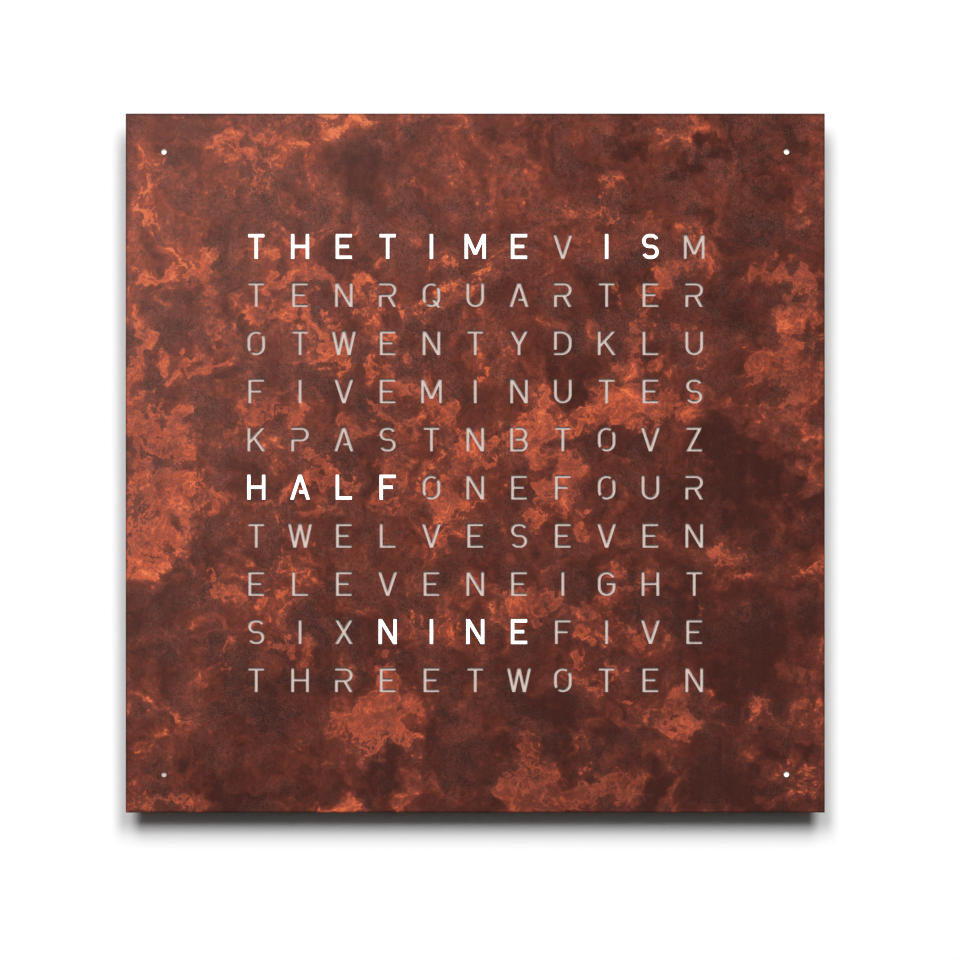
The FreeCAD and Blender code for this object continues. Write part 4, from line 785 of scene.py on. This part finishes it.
COIL_WIRE = 0.6 * MM
COIL_WALL = 1.6 * MM
ferrite = moulded("sintered_ferrite", "#26272a", "#35363a", 0.5 * MM, 0.05 * MM, 0.62)
dress(ferrite, "ferrite_antenna_rod")
enamelled = plated("enamelled_copper_wire", "#8a3f1c", "#b9602f", 0.3 * MM, 0.3, 3 * MM)
dress(enamelled, "antenna_wires")
coil_low, coil_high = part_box("antenna_coil")
coil_y = (coil_low.y + coil_high.y) / 2
coil_radius = (coil_high.z - coil_low.z) / 2
coil_length = coil_high.x - coil_low.x
coil = start(
    "coil", bpy.ops.mesh.primitive_torus_add, location=(coil_low.x + COIL_WIRE / 2, coil_y, TOP_BAND_Z),
    rotation=(0, math.pi / 2, 0), major_radius=coil_radius - COIL_WIRE / 2, minor_radius=COIL_WIRE / 2,
    major_segments=40, minor_segments=8,
)
turns = coil.modifiers.new("turns", "ARRAY")
turns.count = int(coil_length / COIL_WIRE)
turns.use_relative_offset, turns.use_constant_offset = False, True
turns.constant_offset_displace = (COIL_WIRE, 0, 0)
bpy.ops.object.modifier_apply(modifier="turns")
former = disc("former", coil_radius - COIL_WIRE, 0, -coil_length, 40)
carve(former, disc("bore", coil_radius - COIL_WALL, 1 * MM, -coil_length - 1 * MM, 40))
former.data.transform(Matrix.Rotation(math.pi / 2, 4, "Z"))
former.data.transform(Matrix.Translation((coil_low.x, coil_y, TOP_BAND_Z)))
paint(coil, enamelled)
paint(former, white_abs)
settle(join("wound_coil", [coil, former]), "housing", "antenna_coil")

# -------------------- leads and their connectors
# Grey PVC leads, from each corner light to the matrix board and from the receiver to the controller. The
# receiver's lead ends in two small white nylon connectors with a slot on their face.

pvc = moulded("grey_pvc_jacket", "#7b7c7f", "#8d8e91", 1.5 * MM, 0.02 * MM, 0.5)
dress(pvc, "corner_leads", "radio_lead")
white_nylon = moulded("white_nylon", "#d3d0c4", "#dedbd0", 0.9 * MM, 0.02 * MM, 0.5)
LEAD_X = 33 * MM
CONNECTOR_HALF = 4 * MM
CONNECTOR_SIDE = 5 * MM
connector_low, connector_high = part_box("lead_connectors")
connectors = []
for top, seat in ((connector_high.z, RADIO_FRONT), (connector_low.z + CONNECTOR_SIDE, CONTROLLER_FRONT)):
    low = (LEAD_X - CONNECTOR_HALF, seat - CONNECTOR_SIDE, top - CONNECTOR_SIDE)
    connector = block("connector", low, (LEAD_X + CONNECTOR_HALF, seat, top))
    edit()
    soften(0.25 * MM)
    pick("FACE", lambda face: faces_front(face) and face.calc_area() > 20 * MM * MM)
    bpy.ops.mesh.inset(thickness=1.2 * MM)
    push((0, 0.8 * MM, 0))
    leave()
    connectors.append(connector)
piece = join("lead_plugs", connectors)
paint(piece, white_nylon)
settle(piece, "housing", "lead_connectors")

# -------------------- letter diffuser
# Opal acrylic sheet glued behind the plate. Behind lit letters the sheet is a flat white glow. Elsewhere it
# shows through the openings as a warm pale grey, with a faint painted glow that lifts the shade in the
# openings.

PLATE_BACK = -18.5 * MM
SHEET_THICKNESS = 1.0 * MM
SHEET_BORDER = 5.0 * MM
GRID_WIDTH = COLUMNS * COLUMN_PITCH
GRID_HEIGHT = ROWS * ROW_PITCH


def opal(name, colour, glow, strength):
    """Opal acrylic: a milky body, a satin skin that varies a little, and a glow of its own strength."""
    material, tree, place = new_material(name)
    drift = add(tree, "TexNoise", {"Scale": 1 / (18 * MM), "Detail": 2, "Vector": place})
    satin = add(tree, "MapRange", {"Value": drift, "To Min": 0.45, "To Max": 0.55})
    light = {"Base Color": colour, "Roughness": satin, "Emission Color": glow, "Emission Strength": strength}
    shader = add(tree, "BsdfPrincipled", light)
    add(tree, "OutputMaterial", {"Surface": shader})
    material.cycles.emission_sampling = "NONE"
    return material


# The unlit sheet has a faint glow of its own: painted light that lifts the shade in the letter openings.
opal_unlit_painted_glow = opal("opal_acrylic_unlit_painted_glow", "#d2c0b8", "#d8c4ba", 0.05)
opal_on = opal("opal_acrylic_lit", "#ffffff", "#fffdfb", 2.2)


def in_lit_cell(face):
    """Whether a face of the sheet looks forwards and lies in the cell of a lit letter."""
    column = round(face.center.x / COLUMN_PITCH + (COLUMNS - 1) / 2)
    row = round((ROWS - 1) / 2 - face.center.z / ROW_PITCH)
    return face.normal.y < -0.9 and (column, row) in LIT and abs(face.center.x) < GRID_WIDTH / 2


sheet = start(
    "letter_opal_sheet", bpy.ops.mesh.primitive_grid_add, (GRID_WIDTH, GRID_HEIGHT, 1), size=1,
    x_subdivisions=COLUMNS, y_subdivisions=ROWS, location=(0, PLATE_BACK, 0), rotation=FACING_OUT,
)
edit()
pick("EDGE", lambda edge: edge.is_boundary)
bpy.ops.mesh.extrude_edges_move()
wider = (1 + 2 * SHEET_BORDER / GRID_WIDTH, 1, 1 + 2 * SHEET_BORDER / GRID_HEIGHT)
bpy.ops.transform.resize(value=wider, center_override=(0, PLATE_BACK, 0))
bpy.ops.mesh.select_all(action="SELECT")
bpy.ops.mesh.normals_make_consistent(inside=False)
leave()
if sum(face.normal.y for face in sheet.data.polygons) > 0:
    sheet.data.flip_normals()
thick = sheet.modifiers.new("thick", "SOLIDIFY")
thick.thickness, thick.offset = SHEET_THICKNESS, -1
bpy.ops.object.modifier_apply(modifier="thick")
paint(sheet, opal_unlit_painted_glow)
paint(sheet, opal_on, in_lit_cell)
settle(sheet, "front_cover", "letter_diffuser")

# -------------------- minute dot diffusers
# Four punched discs of the same sheet behind the corner dots, with a slightly rounded edge. Three are lit.

DOT_SHEET_RADIUS = 4.5 * MM
opal_dot = opal("opal_acrylic_lit_dot", "#ffffff", "#fffdfb", 0.4)
for name, material, corners in (
    ("minute_dots_lit", opal_dot, [(-1, 1), (1, 1), (1, -1)]),
    ("minute_dot_unlit", opal_unlit_painted_glow, [(-1, -1)]),
):
    dot = disc("dot", DOT_SHEET_RADIUS, PLATE_BACK + SHEET_THICKNESS, PLATE_BACK, 40)
    edit()
    soften(0.2 * MM, on_plane(PLATE_BACK + SHEET_THICKNESS))
    leave()
    paint(dot, opal_unlit_painted_glow)
    paint(dot, material, lambda face: face.normal.y < -0.9)
    piece = repeat(name, dot, [(side * DOT_REACH, end * DOT_REACH) for side, end in corners])
    settle(piece, "front_cover", "minute_dot_diffusers")

# -------------------- locating pins
# Turned pins of bright steel, stud welded to the back of the plate.

turned_steel = plated("turned_bright_steel", "#8d8e90", "#b4b5b7", 0.3 * MM, 0.3, 3 * MM)
dress(turned_steel, "cover_locating_pins")

# -------------------- front plate
# Mild steel sheet, laser cut with the stencil letters, then rusted by hand in the open air and sealed matt.
# The rust stands in clouds: a dark brown skin, brick red between, and orange bloom with bright ragged rims.

PLATE_HALF = 225 * MM
PLATE_FRONT = -20.0 * MM
rust, tree, place = new_material("sealed_rust_on_mild_steel")


def wandering(vector, size, reach):
    """A place on the plate, led astray by clouds of this size as far as this reach."""
    cloud = add(tree, "TexNoise", {"Vector": place, "Scale": 1 / size, "Detail": 3, "Roughness": 0.55})
    centred = add(tree, "VectorMath", {0: cloud.outputs["Color"], 1: (0.5, 0.5, 0.5)}, operation="SUBTRACT")
    led = add(tree, "VectorMath", {0: centred, "Scale": reach}, operation="SCALE")
    return add(tree, "VectorMath", {0: vector, 1: led}, operation="ADD")


def where(*steps):
    """Cover that is full where each value has passed from the start of its own smooth step to the end."""
    cover = 1.0
    for value, start, end in steps:
        step = {"Value": value, "From Min": start, "From Max": end}
        passed = add(tree, "MapRange", step, interpolation_type="SMOOTHSTEP")
        cover = add(tree, "Math", {0: passed, 1: cover}, operation="MULTIPLY")
    return cover


# Where water stood, the rust bloomed bright, and where oil or a thick skin kept it off, it stayed dark. Each
# patch is its middle, half its width and height in millimetres, its turn in degrees and its heat.
PATCHES = (
    # Top left
    (-214, 194, 5, 15, 0, 0.2), (-146, 180, 10, 12, 0, 0.5), (-201, 214, 4, 8, 30, 0.7),
    (-184, 221, 15, 3, 0, 0.6), (-139, 223, 17, 3, 0, 1.2), (-152, 211, 5, 8, -20, 0.8),
    (-101, 194, 8, 10, -30, 0.4), (-16, 206, 14, 10, 0, 0.4), (176, 210, 14, 10, 0, -0.5),
    (-134, 172, 5, 14, -15, 0.7), (-50, 197, 3, 12, -25, 0.5), (-27, 174, 14, 6, 5, 0.6),
    (-200, 165, 16, 6, -15, 0.4), (-180, 188, 22, 14, 0, 0.1), (-180, 211, 16, 8, 0, -0.5),
    (-72, 190, 24, 20, 0, -1.1), (-52, 193, 8, 7, 0, -0.6), (-12, 163, 18, 7, 0, -0.5),
    (-140, 200, 26, 18, 0, 0.5),
    # Left of the letters
    (-208, 148, 12, 16, 0, -0.6), (-176, 124, 8, 12, -35, 1.2), (-180, 112, 14, 10, 0, 0.5),
    (-168, 104, 5, 16, -5, 0.9), (-170, 86, 7, 6, 0, 0.6), (-207, 123, 7, 6, 0, 0.6),
    (-180, 66, 30, 4, 20, 1.0), (-218, 74, 7, 30, 0, 0.9), (-163, 25, 19, 12, 0, 0.8),
    (-163, 25, 11, 6, 0, -0.9), (-188, 16, 12, 10, 0, 1.0), (-220, 15, 7, 26, 0, 1.3),
    (-208, 18, 10, 16, 0, 0.9), (-196, 86, 17, 20, 0, -0.7), (-157, 120, 9, 20, 0, -0.6),
    (-192, 46, 16, 12, 0, -0.3), (-155, -8, 17, 15, 0, -0.9), (-205, -32, 24, 32, 0, 0.9),
    (-213, -62, 9, 10, 0, 0.5), (-190, -49, 9, 10, 0, 0.4), (-177, -11, 8, 10, 0, -0.6),
    (-178, -50, 22, 14, 35, -0.4), (-208, -88, 20, 18, 30, -0.9), (-162, -33, 11, 9, 0, 1.3),
    (-143, -47, 8, 14, 0, 0.4), (-159, -77, 18, 4, -30, 0.8), (-160, -117, 5, 16, -25, 0.9),
    # Upper letters
    (-113, 124, 15, 7, -12, 1.3), (-118, 147, 4, 6, 0, 0.6), (-72, 126, 11, 5, -22, 1.1),
    (-110, 90, 27, 6, -27, 1.2), (-145, 100, 12, 24, 0, -0.5), (-146, 105, 9, 5, 0, 0.5),
    (-128, 38, 17, 10, 25, 0.8), (-145, 44, 4, 12, 0, 0.7), (-55, 46, 10, 13, 0, 1.1),
    (-31, 42, 9, 13, 0, 1.0), (-50, 22, 10, 9, 0, 1.9), (-76, 16, 10, 10, 0, 1.0), (-22, 22, 9, 12, 0, 0.4),
    (-66, 66, 5, 6, 0, 0.8), (-32, 85, 5, 18, 10, 0.4), (-122, 56, 22, 15, 0, -0.5),
    (-84, 38, 12, 24, 0, -0.6), (12, 166, 10, 5, 0, 0.4), (75, 165, 30, 4, 3, 0.6), (76, 153, 9, 4, 0, 0.2),
    (134, 124, 12, 11, 0, 0.9), (121, 112, 7, 32, 0, 0.5), (86, 108, 6, 5, 0, 0.9), (118, 92, 7, 14, 0, 0.7),
    (98, 77, 16, 9, 0, 0.9), (92, 47, 25, 19, 0, 1.6), (128, 36, 15, 8, -15, 0.9), (43, 21, 16, 17, 30, 1.2),
    (6, 7, 14, 14, 0, 1.7), (80, 14, 14, 12, 0, -0.9), (60, 52, 9, 20, 0, -1.2), (78, 100, 20, 16, 0, -0.2),
    (12, 70, 22, 34, 0, 0.3), (60, 140, 24, 12, 0, -0.3),
    # Top right
    (38, 214, 26, 10, 0, -0.6), (104, 211, 16, 11, 0, -1.4), (205, 208, 16, 14, 0, -0.9),
    (147, 203, 15, 9, 0, -1.5), (179, 178, 10, 26, 0, -0.9), (178, 180, 3, 16, 0, 0.9),
    (136, 218, 5, 10, 0, 0.7), (40, 203, 10, 4, 0, 0.6), (199, 123, 17, 7, 0, 1.3), (209, 105, 6, 10, 0, 1.5),
    (214, 84, 10, 32, 0, 0.6), (192, 55, 22, 17, 0, 1.1), (212, 45, 12, 22, 0, 0.6),
    (172, 100, 26, 17, 0, -0.7), (198, 165, 20, 26, 0, -0.2), (158, 8, 44, 22, 0, -1.2),
    # Middle and lower letters
    (-126, -27, 20, 5, 5, 0.9), (-99, -37, 13, 4, 20, 0.9), (-104, -9, 10, 9, 0, 0.8),
    (-87, -15, 10, 10, 0, 1.1), (-57, -18, 10, 11, 0, 1.0), (-15, -13, 20, 12, 0, 0.9),
    (-16, -50, 20, 10, 0, 0.7), (-125, -84, 19, 15, 0, 0.5), (-120, -55, 6, 14, 0, 0.4),
    (-115, -123, 15, 6, 0, 1.0), (-49, -121, 5, 7, 0, 0.8), (-87, -90, 22, 15, 0, -0.4),
    (-80, -112, 10, 10, 0, 0.5), (56, -20, 18, 23, 0, 0.9), (84, -18, 12, 14, 0, -0.4),
    (22, -22, 15, 13, 0, -0.9), (33, -90, 16, 12, 0, 1.4), (57, -86, 11, 9, 0, 0.6),
    (80, -80, 10, 12, 0, -1.0), (50, -113, 9, 9, 0, 0.4), (98, -92, 11, 14, 0, 0.9),
    (80, -105, 11, 7, 0, 0.9), (124, -121, 14, 9, 0, 0.5), (82, -121, 7, 5, 0, 0.8),
    (69, -140, 9, 10, 0, 0.6), (88, -153, 7, 4, 0, 0.8), (-64, -148, 17, 13, 0, 1.4),
    (-130, -14, 20, 7, 0, -0.5),
    # Right of the letters
    (163, -65, 23, 17, 0, 0.6), (168, -48, 6, 9, 0, 0.2), (144, -46, 10, 10, 0, -0.4),
    (165, -62, 9, 7, 0, -0.7), (163, -97, 19, 3, 8, 0.6), (178, -22, 52, 20, 0, -1.1),
    (210, -15, 14, 16, 0, -1.0), (178, -125, 32, 26, 0, -1.4), (140, -146, 14, 10, 0, -1.0),
    (216, -84, 9, 12, 0, -0.7), (220, -62, 6, 10, 0, 0.5), (140, -94, 7, 4, 0, 0.8),
    (144, -82, 10, 8, 0, 0.5),
    # Bottom
    (-81, -173, 12, 19, -20, 0.5), (-62, -166, 22, 18, 0, 0.4), (-32, -157, 10, 9, 0, 0.8),
    (-114, -174, 20, 18, 0, 0.4), (-210, -146, 14, 18, 0, -0.4), (-190, -177, 18, 10, 0, -0.5),
    (-200, -222, 30, 5, 0, 0.7), (-76, -219, 27, 8, 0, 0.7), (-53, -180, 9, 4, -10, 0.4),
    (-142, -162, 12, 20, 10, -0.4), (-94, -148, 13, 7, 0, -0.6), (-164, -208, 22, 15, 0, -1.4),
    (-58, -191, 15, 9, 15, -1.2), (-83, -201, 14, 7, 0, -0.8), (-126, -206, 20, 9, 0, -1.1),
    (-24, -172, 20, 12, 0, -0.4), (133, -162, 15, 10, 0, 0.9), (175, -164, 24, 5, -25, 0.5),
    (55, -210, 46, 16, 0, 1.2), (66, -184, 30, 9, 0, -0.7), (28, -208, 14, 12, 0, 0.4),
    (110, -178, 14, 12, 0, -0.5), (209, -178, 14, 14, 0, -0.9), (203, -198, 20, 16, 0, 0.1),
    (40, -165, 34, 12, 0, -0.8), (114, -208, 14, 18, 0, -1.8), (172, -209, 26, 17, 0, -1.6),
    (0, -200, 12, 30, 0, -0.3),
)
SOFT_REACH = 1.45 * MM
near = wandering(wandering(place, 30 * MM, 90 * MM), 8 * MM, 24 * MM)
heat = 0.0
for x, z, half_width, half_height, turn, strength in PATCHES:
    # A patch fades out a little beyond its half width and height.
    patch = add(tree, "Mapping", {
        "Vector": near, "Location": (x * MM, PLATE_FRONT, z * MM), "Rotation": (0, math.radians(-turn), 0),
        "Scale": (half_width * SOFT_REACH, 1.0, half_height * SOFT_REACH),
    }, vector_type="TEXTURE")
    spot = add(tree, "TexGradient", {"Vector": patch}, gradient_type="SPHERICAL").outputs["Fac"]
    heat = add(tree, "Math", {0: spot, 1: strength, 2: heat}, operation="MULTIPLY_ADD")

# The noises that break the patches up: clouds, skins, lace and veins, and then sand and dust. Real dust is
# finer, and is drawn as coarse as it needs to show.
wander = wandering(near, 90 * MM, 250 * MM)
clouds = add(tree, "TexNoise", {
    "Vector": wander, "Scale": 1 / (60 * MM), "Detail": 7, "Roughness": 0.6,
}, noise_type="MULTIFRACTAL")
skins = add(tree, "TexNoise", {"Vector": wander, "Scale": 1 / (40 * MM), "Detail": 8, "Roughness": 0.62})
lace = add(tree, "TexNoise", {
    "Vector": near, "Scale": 1 / (14 * MM), "Detail": 6, "Roughness": 0.62, "Offset": 1.0, "Gain": 2.0,
}, noise_type="RIDGED_MULTIFRACTAL")
veins = add(tree, "TexNoise", {
    "Vector": near, "Scale": 1 / (34 * MM), "Detail": 4, "Roughness": 0.5, "Offset": 1.0,
}, noise_type="RIDGED_MULTIFRACTAL")
sand = add(tree, "TexNoise", {"Vector": place, "Scale": 1 / (2.6 * MM), "Detail": 3, "Roughness": 0.7})
dust = add(tree, "TexNoise", {"Vector": place, "Scale": 1 / (0.9 * MM), "Detail": 1, "Roughness": 0.6})
axes = add(tree, "SeparateXYZ", {"Vector": place})
across = add(tree, "VectorMath", {0: place, 1: (-0.8, 0.0, 1.25)}, operation="DOT_PRODUCT")

# A thick dark skin has a ragged edge, and under it the clouds are calmer.
skin_edge = add(tree, "Math", {0: heat, 1: -0.10, 2: skins}, operation="MULTIPLY_ADD")
calm = add(tree, "MapRange", {
    "Value": heat, "From Min": -1.0, "From Max": -0.2, "To Min": 0.35, "To Max": 1.0,
}, interpolation_type="SMOOTHSTEP")
cloud_swing = add(tree, "Math", {0: clouds, 1: 1.0}, operation="SUBTRACT")
drift = add(tree, "Math", {0: cloud_swing, 1: calm}, operation="MULTIPLY")

# Grit settled unevenly, most of it to the upper left and least on a thick skin.
coarse = add(tree, "MapRange", {
    "Value": across, "From Min": -250 * MM, "From Max": 250 * MM, "To Min": 0.4, "To Max": 0.7,
})
settled = add(tree, "TexNoise", {"Vector": place, "Scale": 1 / (24 * MM), "Detail": 4, "Roughness": 0.6})
uneven = add(tree, "MapRange", {
    "Value": settled, "From Min": 0.42, "From Max": 0.58, "To Min": 0.5, "To Max": 1.5,
}, interpolation_type="SMOOTHSTEP")
grain = add(tree, "Math", {0: sand, 1: 0.5}, operation="SUBTRACT")
for share in (calm, coarse, uneven):
    grain = add(tree, "Math", {0: grain, 1: share}, operation="MULTIPLY")

# Bloom stands where it is warm, and the clouds, the lace and the grit fray its outline.
bloom = heat
for share, value in ((0.45, clouds), (0.34, lace), (1.2, grain)):
    bloom = add(tree, "Math", {0: value, 1: share, 2: bloom}, operation="MULTIPLY_ADD")

# How fresh the rust is. It is lighter towards the upper left, fresher in warm patches, and darkest in a thick
# skin.
# Bloom is laced inside and starts in a bright rim, thin and broken, and veins run through it.
fresh = add(tree, "MapRange", {
    "Value": across, "From Min": -400 * MM, "From Max": 400 * MM, "To Min": 0.325, "To Max": 0.485,
})
for share, value in (
    (0.11, heat),
    (0.19, drift),
    (0.04, lace),
    (0.26, grain),
    (-0.07, where((skin_edge, 0.555, 0.585))),
    (0.04, where((bloom, 0.97, 1.47))),
    (0.10, where((bloom, 1.37, 1.61), (lace, 1.5, 2.1))),
    (0.15, where((bloom, 1.37, 1.42), (bloom, 1.60, 1.44), (skins, 0.42, 0.54))),
    (0.09, where((bloom, 1.17, 1.47), (veins, 1.45, 1.7))),
):
    fresh = add(tree, "Math", {0: value, 1: share, 2: fresh}, operation="MULTIPLY_ADD")
finish = add(tree, "ValToRGB", {"Fac": fresh}, stops=[
    (0.26, "#3d1711"), (0.37, "#502016"), (0.48, "#6a2d20"), (0.55, "#7f3828"), (0.62, "#97432e"),
    (0.69, "#b24e34"), (0.78, "#d5603a"), (0.90, "#f3824c"),
])

# Over the rust lies the lacquer, with a pale haze that grows towards the upper left, and fine grey dust in
# it.
# Behind the face and in the cuts the steel is plain and dark, and only stained.
leftwards = add(tree, "VectorMath", {0: place, 1: (-1.0, 0.0, 0.7)}, operation="DOT_PRODUCT")
haze = add(tree, "MapRange", {
    "Value": leftwards, "From Max": 350 * MM, "To Min": 0.025, "To Max": 0.13,
}, interpolation_type="SMOOTHSTEP")
dust_tone = add(tree, "ValToRGB", {"Fac": dust}, stops=[(0.38, "#140b09"), (0.62, "#ac948b")])
dusting = add(tree, "MapRange", {
    "Value": across, "From Min": -400 * MM, "From Max": 300 * MM, "To Min": 0.03, "To Max": 0.075,
}, interpolation_type="SMOOTHSTEP")
for share in (calm, uneven):
    dusting = add(tree, "Math", {0: dusting, 1: share}, operation="MULTIPLY")
stain = add(tree, "MapRange", {
    "Value": axes.outputs["Y"], "From Min": PLATE_FRONT + 0.03 * MM, "From Max": PLATE_FRONT + 0.2 * MM,
    "To Max": 0.82,
}, interpolation_type="SMOOTHSTEP")
for colour, cover in (("#a88c84", haze), (dust_tone, dusting), ("#33241f", stain)):
    finish = add(tree, "Mix", {0: cover, 6: finish, 7: colour}, data_type="RGBA")

# Water ran down it in faint streaks, and the plate is darker in a thin line along its outer edge.
fallen = add(tree, "Mapping", {"Vector": place, "Scale": (1, 1, 0.07)})
streaks = add(tree, "TexNoise", {"Vector": fallen, "Scale": 1 / (6 * MM), "Detail": 3, "Roughness": 0.5})
streak_tone = add(tree, "MapRange", {
    "Value": streaks, "From Min": 0.3, "From Max": 0.7, "To Min": 0.94, "To Max": 1.06,
}, interpolation_type="SMOOTHSTEP")
far_x, far_z = [add(tree, "Math", {0: axes.outputs[axis]}, operation="ABSOLUTE") for axis in ("X", "Z")]
from_middle = add(tree, "Math", {0: far_x, 1: far_z}, operation="MAXIMUM")
edge_darkening = add(tree, "MapRange", {
    "Value": from_middle, "From Min": PLATE_HALF - 1.6 * MM, "From Max": PLATE_HALF - 0.3 * MM,
    "To Min": 1.0, "To Max": 0.55,
}, interpolation_type="SMOOTHSTEP")
shade = add(tree, "Math", {0: streak_tone, 1: edge_darkening}, operation="MULTIPLY")
finish = add(tree, "VectorMath", {0: finish, "Scale": shade}, operation="SCALE")
# The lacquer is matt, and the dust and the lace under it stand out a little.
crust = add(tree, "Math", {0: dust, 1: lace}, operation="ADD")
raised = add(tree, "Bump", {"Height": crust, "Strength": 0.35, "Distance": 0.1 * MM})
matt = {"Base Color": finish, "Normal": raised, "Roughness": 0.85, "Specular IOR Level": 0.06}
shader = add(tree, "BsdfPrincipled", matt)
add(tree, "OutputMaterial", {"Surface": shader})
dress(rust, "front_plate")

# -------------------- wall, floor, lamps and camera
# A plain white wall behind the clock, which can be looked through from behind, and a pale floor far below it.
# The main lamp stands high in front, and the others light the back, the ends and the sides.

WALL_HALF = 4.0
FLOOR_Z = -1.1


def one_sided(name, colour, bounced):
    """Matt paint of one colour that lights its surroundings as if it were another.

    From behind it isn't there, nor is it there for the lamps behind it."""
    material, tree = new_material(name)[:2]
    rays = add(tree, "LightPath")
    tone = add(tree, "Mix", {0: rays.outputs["Is Camera Ray"], 6: bounced, 7: colour}, data_type="RGBA")
    behind = add(tree, "NewGeometry").outputs["Backfacing"]
    gone = add(tree, "Math", {0: behind, 1: rays.outputs["Is Shadow Ray"]}, operation="MAXIMUM")
    paint_coat = add(tree, "BsdfDiffuse", {"Color": tone})
    mixed = add(tree, "MixShader", {0: gone, 1: paint_coat, 2: add(tree, "BsdfTransparent")})
    add(tree, "OutputMaterial", {"Surface": mixed})
    return material


plane = bpy.ops.mesh.primitive_plane_add
wall = start("wall", plane, size=2 * WALL_HALF, location=(0, 0.5 * MM, 0), rotation=FACING_OUT)
paint(wall, one_sided("white_wall_paint", "#ffffff", "#ffffff"))
floor = start("floor", plane, size=2 * WALL_HALF, location=(0, -WALL_HALF, FLOOR_Z))
paint(floor, one_sided("pale_floor_paint", "#f4f3f1", "#3a3937"))


def sun(name, strength, spread, towards):
    """Distant soft lamp whose light travels in this direction."""
    lamp = bpy.data.lights.new(name, "SUN")
    lamp.energy, lamp.angle = strength, math.radians(spread)
    holder = bpy.data.objects.new(name, lamp)
    holder.rotation_euler = Vector(towards).to_track_quat("-Z", "Y").to_euler()
    bpy.context.collection.objects.link(holder)


# The main lamp is a softbox, made of four suns and a wide, dim edge. Each has its turn, height, strength and
# spread.
for name, turn, height, strength, spread in (
    ("key_left_low", 16, 27, 0.84, 20), ("key_right_low", -16, 27, 0.84, 20),
    ("key_left_high", 16, 40, 0.84, 20), ("key_right_high", -16, 40, 0.84, 20),
    ("key_edge", 0, 33, 0.5, 60),
):
    sideways, fall = math.radians(turn), math.radians(height)
    towards = (math.cos(fall) * math.sin(sideways), math.cos(fall) * math.cos(sideways), -math.sin(fall))
    sun(name, strength, spread, towards)
sun("back_from_above", 1.6, 40, (0.3, -0.8, -0.6))
sun("back_from_below", 1.6, 40, (-0.3, -0.6, 0.9))
sun("back_from_left", 1.0, 30, (1.0, -0.5, 0.0))
sun("back_from_right", 1.0, 30, (-1.0, -0.5, 0.0))

world = bpy.data.worlds.new("studio")
bpy.context.scene.world = world
world.use_nodes = True
tree = world.node_tree
tree.nodes.clear()
rays = add(tree, "LightPath")
seen = rays.outputs["Is Camera Ray"]
for ray in ("Is Glossy Ray", "Is Transmission Ray"):
    seen = add(tree, "Math", {0: seen, 1: rays.outputs[ray]}, operation="MAXIMUM")
white = add(tree, "Background", {"Color": "#ffffff", "Strength": 1.0})
fill = add(tree, "Background", {"Color": "#ffffff", "Strength": 0.02})
both = add(tree, "MixShader", {0: seen, 1: fill, 2: white})
add(tree, "OutputWorld", {"Surface": both})

LENS = 450.0
SENSOR = 36.0
VIEW_WIDTH = 0.61805
# The clock hangs a little up and to the left of the middle of the view.
VIEW_MIDDLE = (3.06 * MM, -10.9 * MM)
camera = bpy.data.cameras.new("camera")
camera.lens, camera.sensor_width = LENS, SENSOR
camera.clip_start, camera.clip_end = 0.1, 50
holder = bpy.data.objects.new("camera", camera)
holder.location = (VIEW_MIDDLE[0], PLATE_FRONT - VIEW_WIDTH * LENS / SENSOR, VIEW_MIDDLE[1])
holder.rotation_euler = FACING_OUT
bpy.context.collection.objects.link(holder)
bpy.context.scene.camera = holder
bpy.context.scene.view_settings.view_transform = "Standard"
